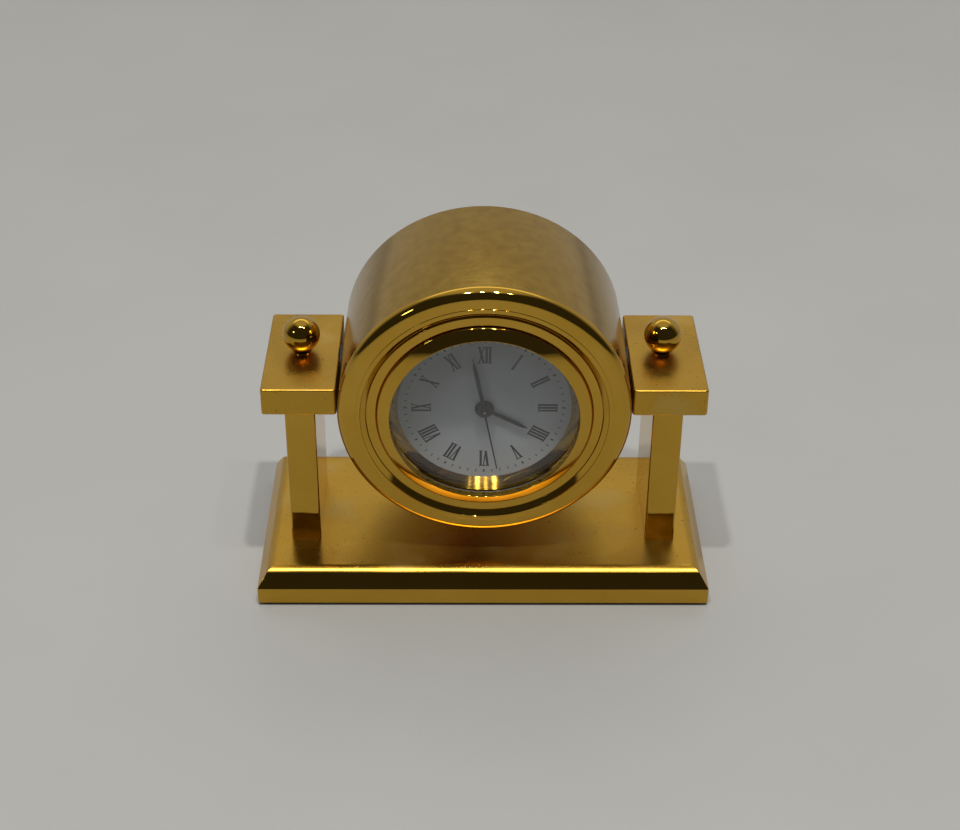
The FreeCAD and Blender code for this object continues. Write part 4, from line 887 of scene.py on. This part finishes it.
HOUR_FRONT = DIAL_FRONT - 0.45
MINUTE_FRONT = HOUR_FRONT - 0.45
SECOND_FRONT = MINUTE_FRONT - 0.4
stamp("hour", "hours", clock_angle=118.5, boss=1.3, front=HOUR_FRONT, thickness=0.15,
      blade=[(1.2, 0.22), (3.0, 0.24), (5.6, 0.25), (6.75, 0.03)])
stamp("minute", "minutes", clock_angle=349.0, boss=1.05, front=MINUTE_FRONT, thickness=0.15,
      blade=[(1.0, 0.24), (4.5, 0.27), (7.2, 0.24), (8.7, 0.03)])
stamp("second", "seconds", clock_angle=169.4, boss=0.55, front=SECOND_FRONT, thickness=0.1,
      blade=[(0.5, 0.12), (9.65, 0.08)])

# %% [markdown]
# ## The table
# The clock stands on a plain pale table top. A single large face with a faintly uneven, eggshell
# surface is enough; it is also what the gold mirrors from below.

# %% Lay the table
TABLE_PALE = "#B2B2B0"
TABLE_SHADE = "#AAAAA8"
TABLE_HALF = 6.0
EGGSHELL_ROUGHNESS = 0.6


def make_table_paint():
    """Eggshell paint rolled on a board: pale and even, with a weak broad sheen."""
    material, tree, place = new_material("eggshell_paint")
    tint = toned(tree, spread(tree, place, 40.0), colour(TABLE_PALE), colour(TABLE_SHADE))
    close_opaque(tree, tint, EGGSHELL_ROUGHNESS, relief(tree, spread(tree, place, 0.8), 0.1, 0.05))
    return material


table_mesh = bpy.data.meshes.new("table_top")
table_mesh.from_pydata(
    [(-TABLE_HALF, -TABLE_HALF, 0), (TABLE_HALF, -TABLE_HALF, 0), (TABLE_HALF, TABLE_HALF, 0),
     (-TABLE_HALF, TABLE_HALF, 0)], [], [(0, 1, 2, 3)])
table_top = bpy.data.objects.new("table_top", table_mesh)
bpy.context.scene.collection.objects.link(table_top)
coat(table_top, make_table_paint())
print("table laid")

# %% [markdown]
# ## Light
# Gold shows little but its surroundings, so the room matters. It is a soft studio: a pale wall behind
# the clock with a bright strip of window high up, a grey ceiling, and a dark side behind the camera.
# The world holds that as a slow change with direction: FRONT_TO_BACK and the edges say where it starts
# and ends, as parts of a direction of length 1. Four small ceiling lamps in a row, high in front,
# throw a shadow to each side and put a row of dots on every rolled edge. A little cool daylight comes
# from the front left and adds a bluish glint to the roll and the balls.

# %% Fill the room with light
ROOM_FRONT = 0.035
ROOM_BACK = 0.48
FRONT_TO_BACK = (-0.1, 0.55)
CEILING = 0.55
CEILING_MIDDLE = math.radians(76)
CEILING_EDGE = (0.80, 0.96)
WINDOW = 1.6
WINDOW_HEIGHT = 0.73
WINDOW_EDGE = (0.03, 0.10)
WINDOW_SIDE = (0.3, 0.6)
SOFT = "SMOOTHSTEP"
DAYLIT_WHITE = "#FFFEFB"

room = bpy.data.worlds.new("soft_room")
room.use_nodes = True
space = room.node_tree
space.nodes.clear()
direction = add_node(space, "ShaderNodeTexCoord").outputs["Generated"]
parts = add_node(space, "ShaderNodeSeparateXYZ", {"Vector": direction})
walls = ranged(space, parts.outputs["Y"], FRONT_TO_BACK, (ROOM_FRONT, ROOM_BACK), SOFT)
overhead = add_node(space, "ShaderNodeVectorMath", {
    0: direction, 1: (0.0, math.cos(CEILING_MIDDLE), math.sin(CEILING_MIDDLE))}, operation="DOT_PRODUCT")
under_ceiling = ranged(space, overhead.outputs["Value"], CEILING_EDGE, (0.0, 1.0), SOFT)
whole = add_node(space, "ShaderNodeMix", {"Factor": under_ceiling, "A": walls, "B": CEILING})
off_window = add_node(space, "ShaderNodeMath", {
    0: parts.outputs["Z"], 1: WINDOW_HEIGHT}, operation="SUBTRACT")
distance = add_node(space, "ShaderNodeMath", {0: off_window.outputs[0]}, operation="ABSOLUTE")
window = add_node(space, "ShaderNodeMath", {
    0: ranged(space, distance.outputs[0], WINDOW_EDGE, (1.0, 0.0), SOFT),
    1: ranged(space, parts.outputs["Y"], WINDOW_SIDE, (0.0, 1.0), SOFT)}, operation="MULTIPLY")
lit = add_node(space, "ShaderNodeMix", {
    "Factor": window.outputs[0], "A": whole.outputs["Result"], "B": WINDOW})
glow = add_node(space, "ShaderNodeBackground", {
    "Color": colour(DAYLIT_WHITE), "Strength": lit.outputs["Result"]})
add_node(space, "ShaderNodeOutputWorld", {"Surface": glow.outputs["Background"]})
bpy.context.scene.world = room
print("made", room.name)

# %% Hang the lamps
LAMP_SIZE = 0.04
LAMP_DISTANCE = 1.1
LAMP_HEIGHT = math.radians(74)
LAMP_WATTS = {-0.17: 3.0, -0.025: 1.4, 0.12: 3.3, 0.265: 0.6}
LAMP_LIGHT = "#FFFDF7"
DAY_LIGHT = "#D6E8FF"
DAY_SIZE = 0.14
DAY_WATTS = 0.5
DAY_PLACE = Vector((-0.68, -0.48, 0.555))


def hang(name, watts, size, place, light):
    """A round lamp that faces the clock."""
    data = bpy.data.lights.new(name, "AREA")
    data.shape = "DISK"
    data.size = size
    data.energy = watts
    data.color = colour(light)[:3]
    lamp = bpy.data.objects.new(name, data)
    bpy.context.scene.collection.objects.link(lamp)
    lamp.location = place
    lamp.rotation_euler = place.to_track_quat("Z", "Y").to_euler()


for number, (across, watts) in enumerate(LAMP_WATTS.items()):
    spot = Vector((across, -math.cos(LAMP_HEIGHT), math.sin(LAMP_HEIGHT))).normalized()
    hang(f"ceiling_lamp_{number}", watts, LAMP_SIZE, spot * LAMP_DISTANCE, LAMP_LIGHT)
hang("daylight_gap", DAY_WATTS, DAY_SIZE, DAY_PLACE * LAMP_DISTANCE, DAY_LIGHT)
print(f"{len(LAMP_WATTS) + 1} lamps hung")
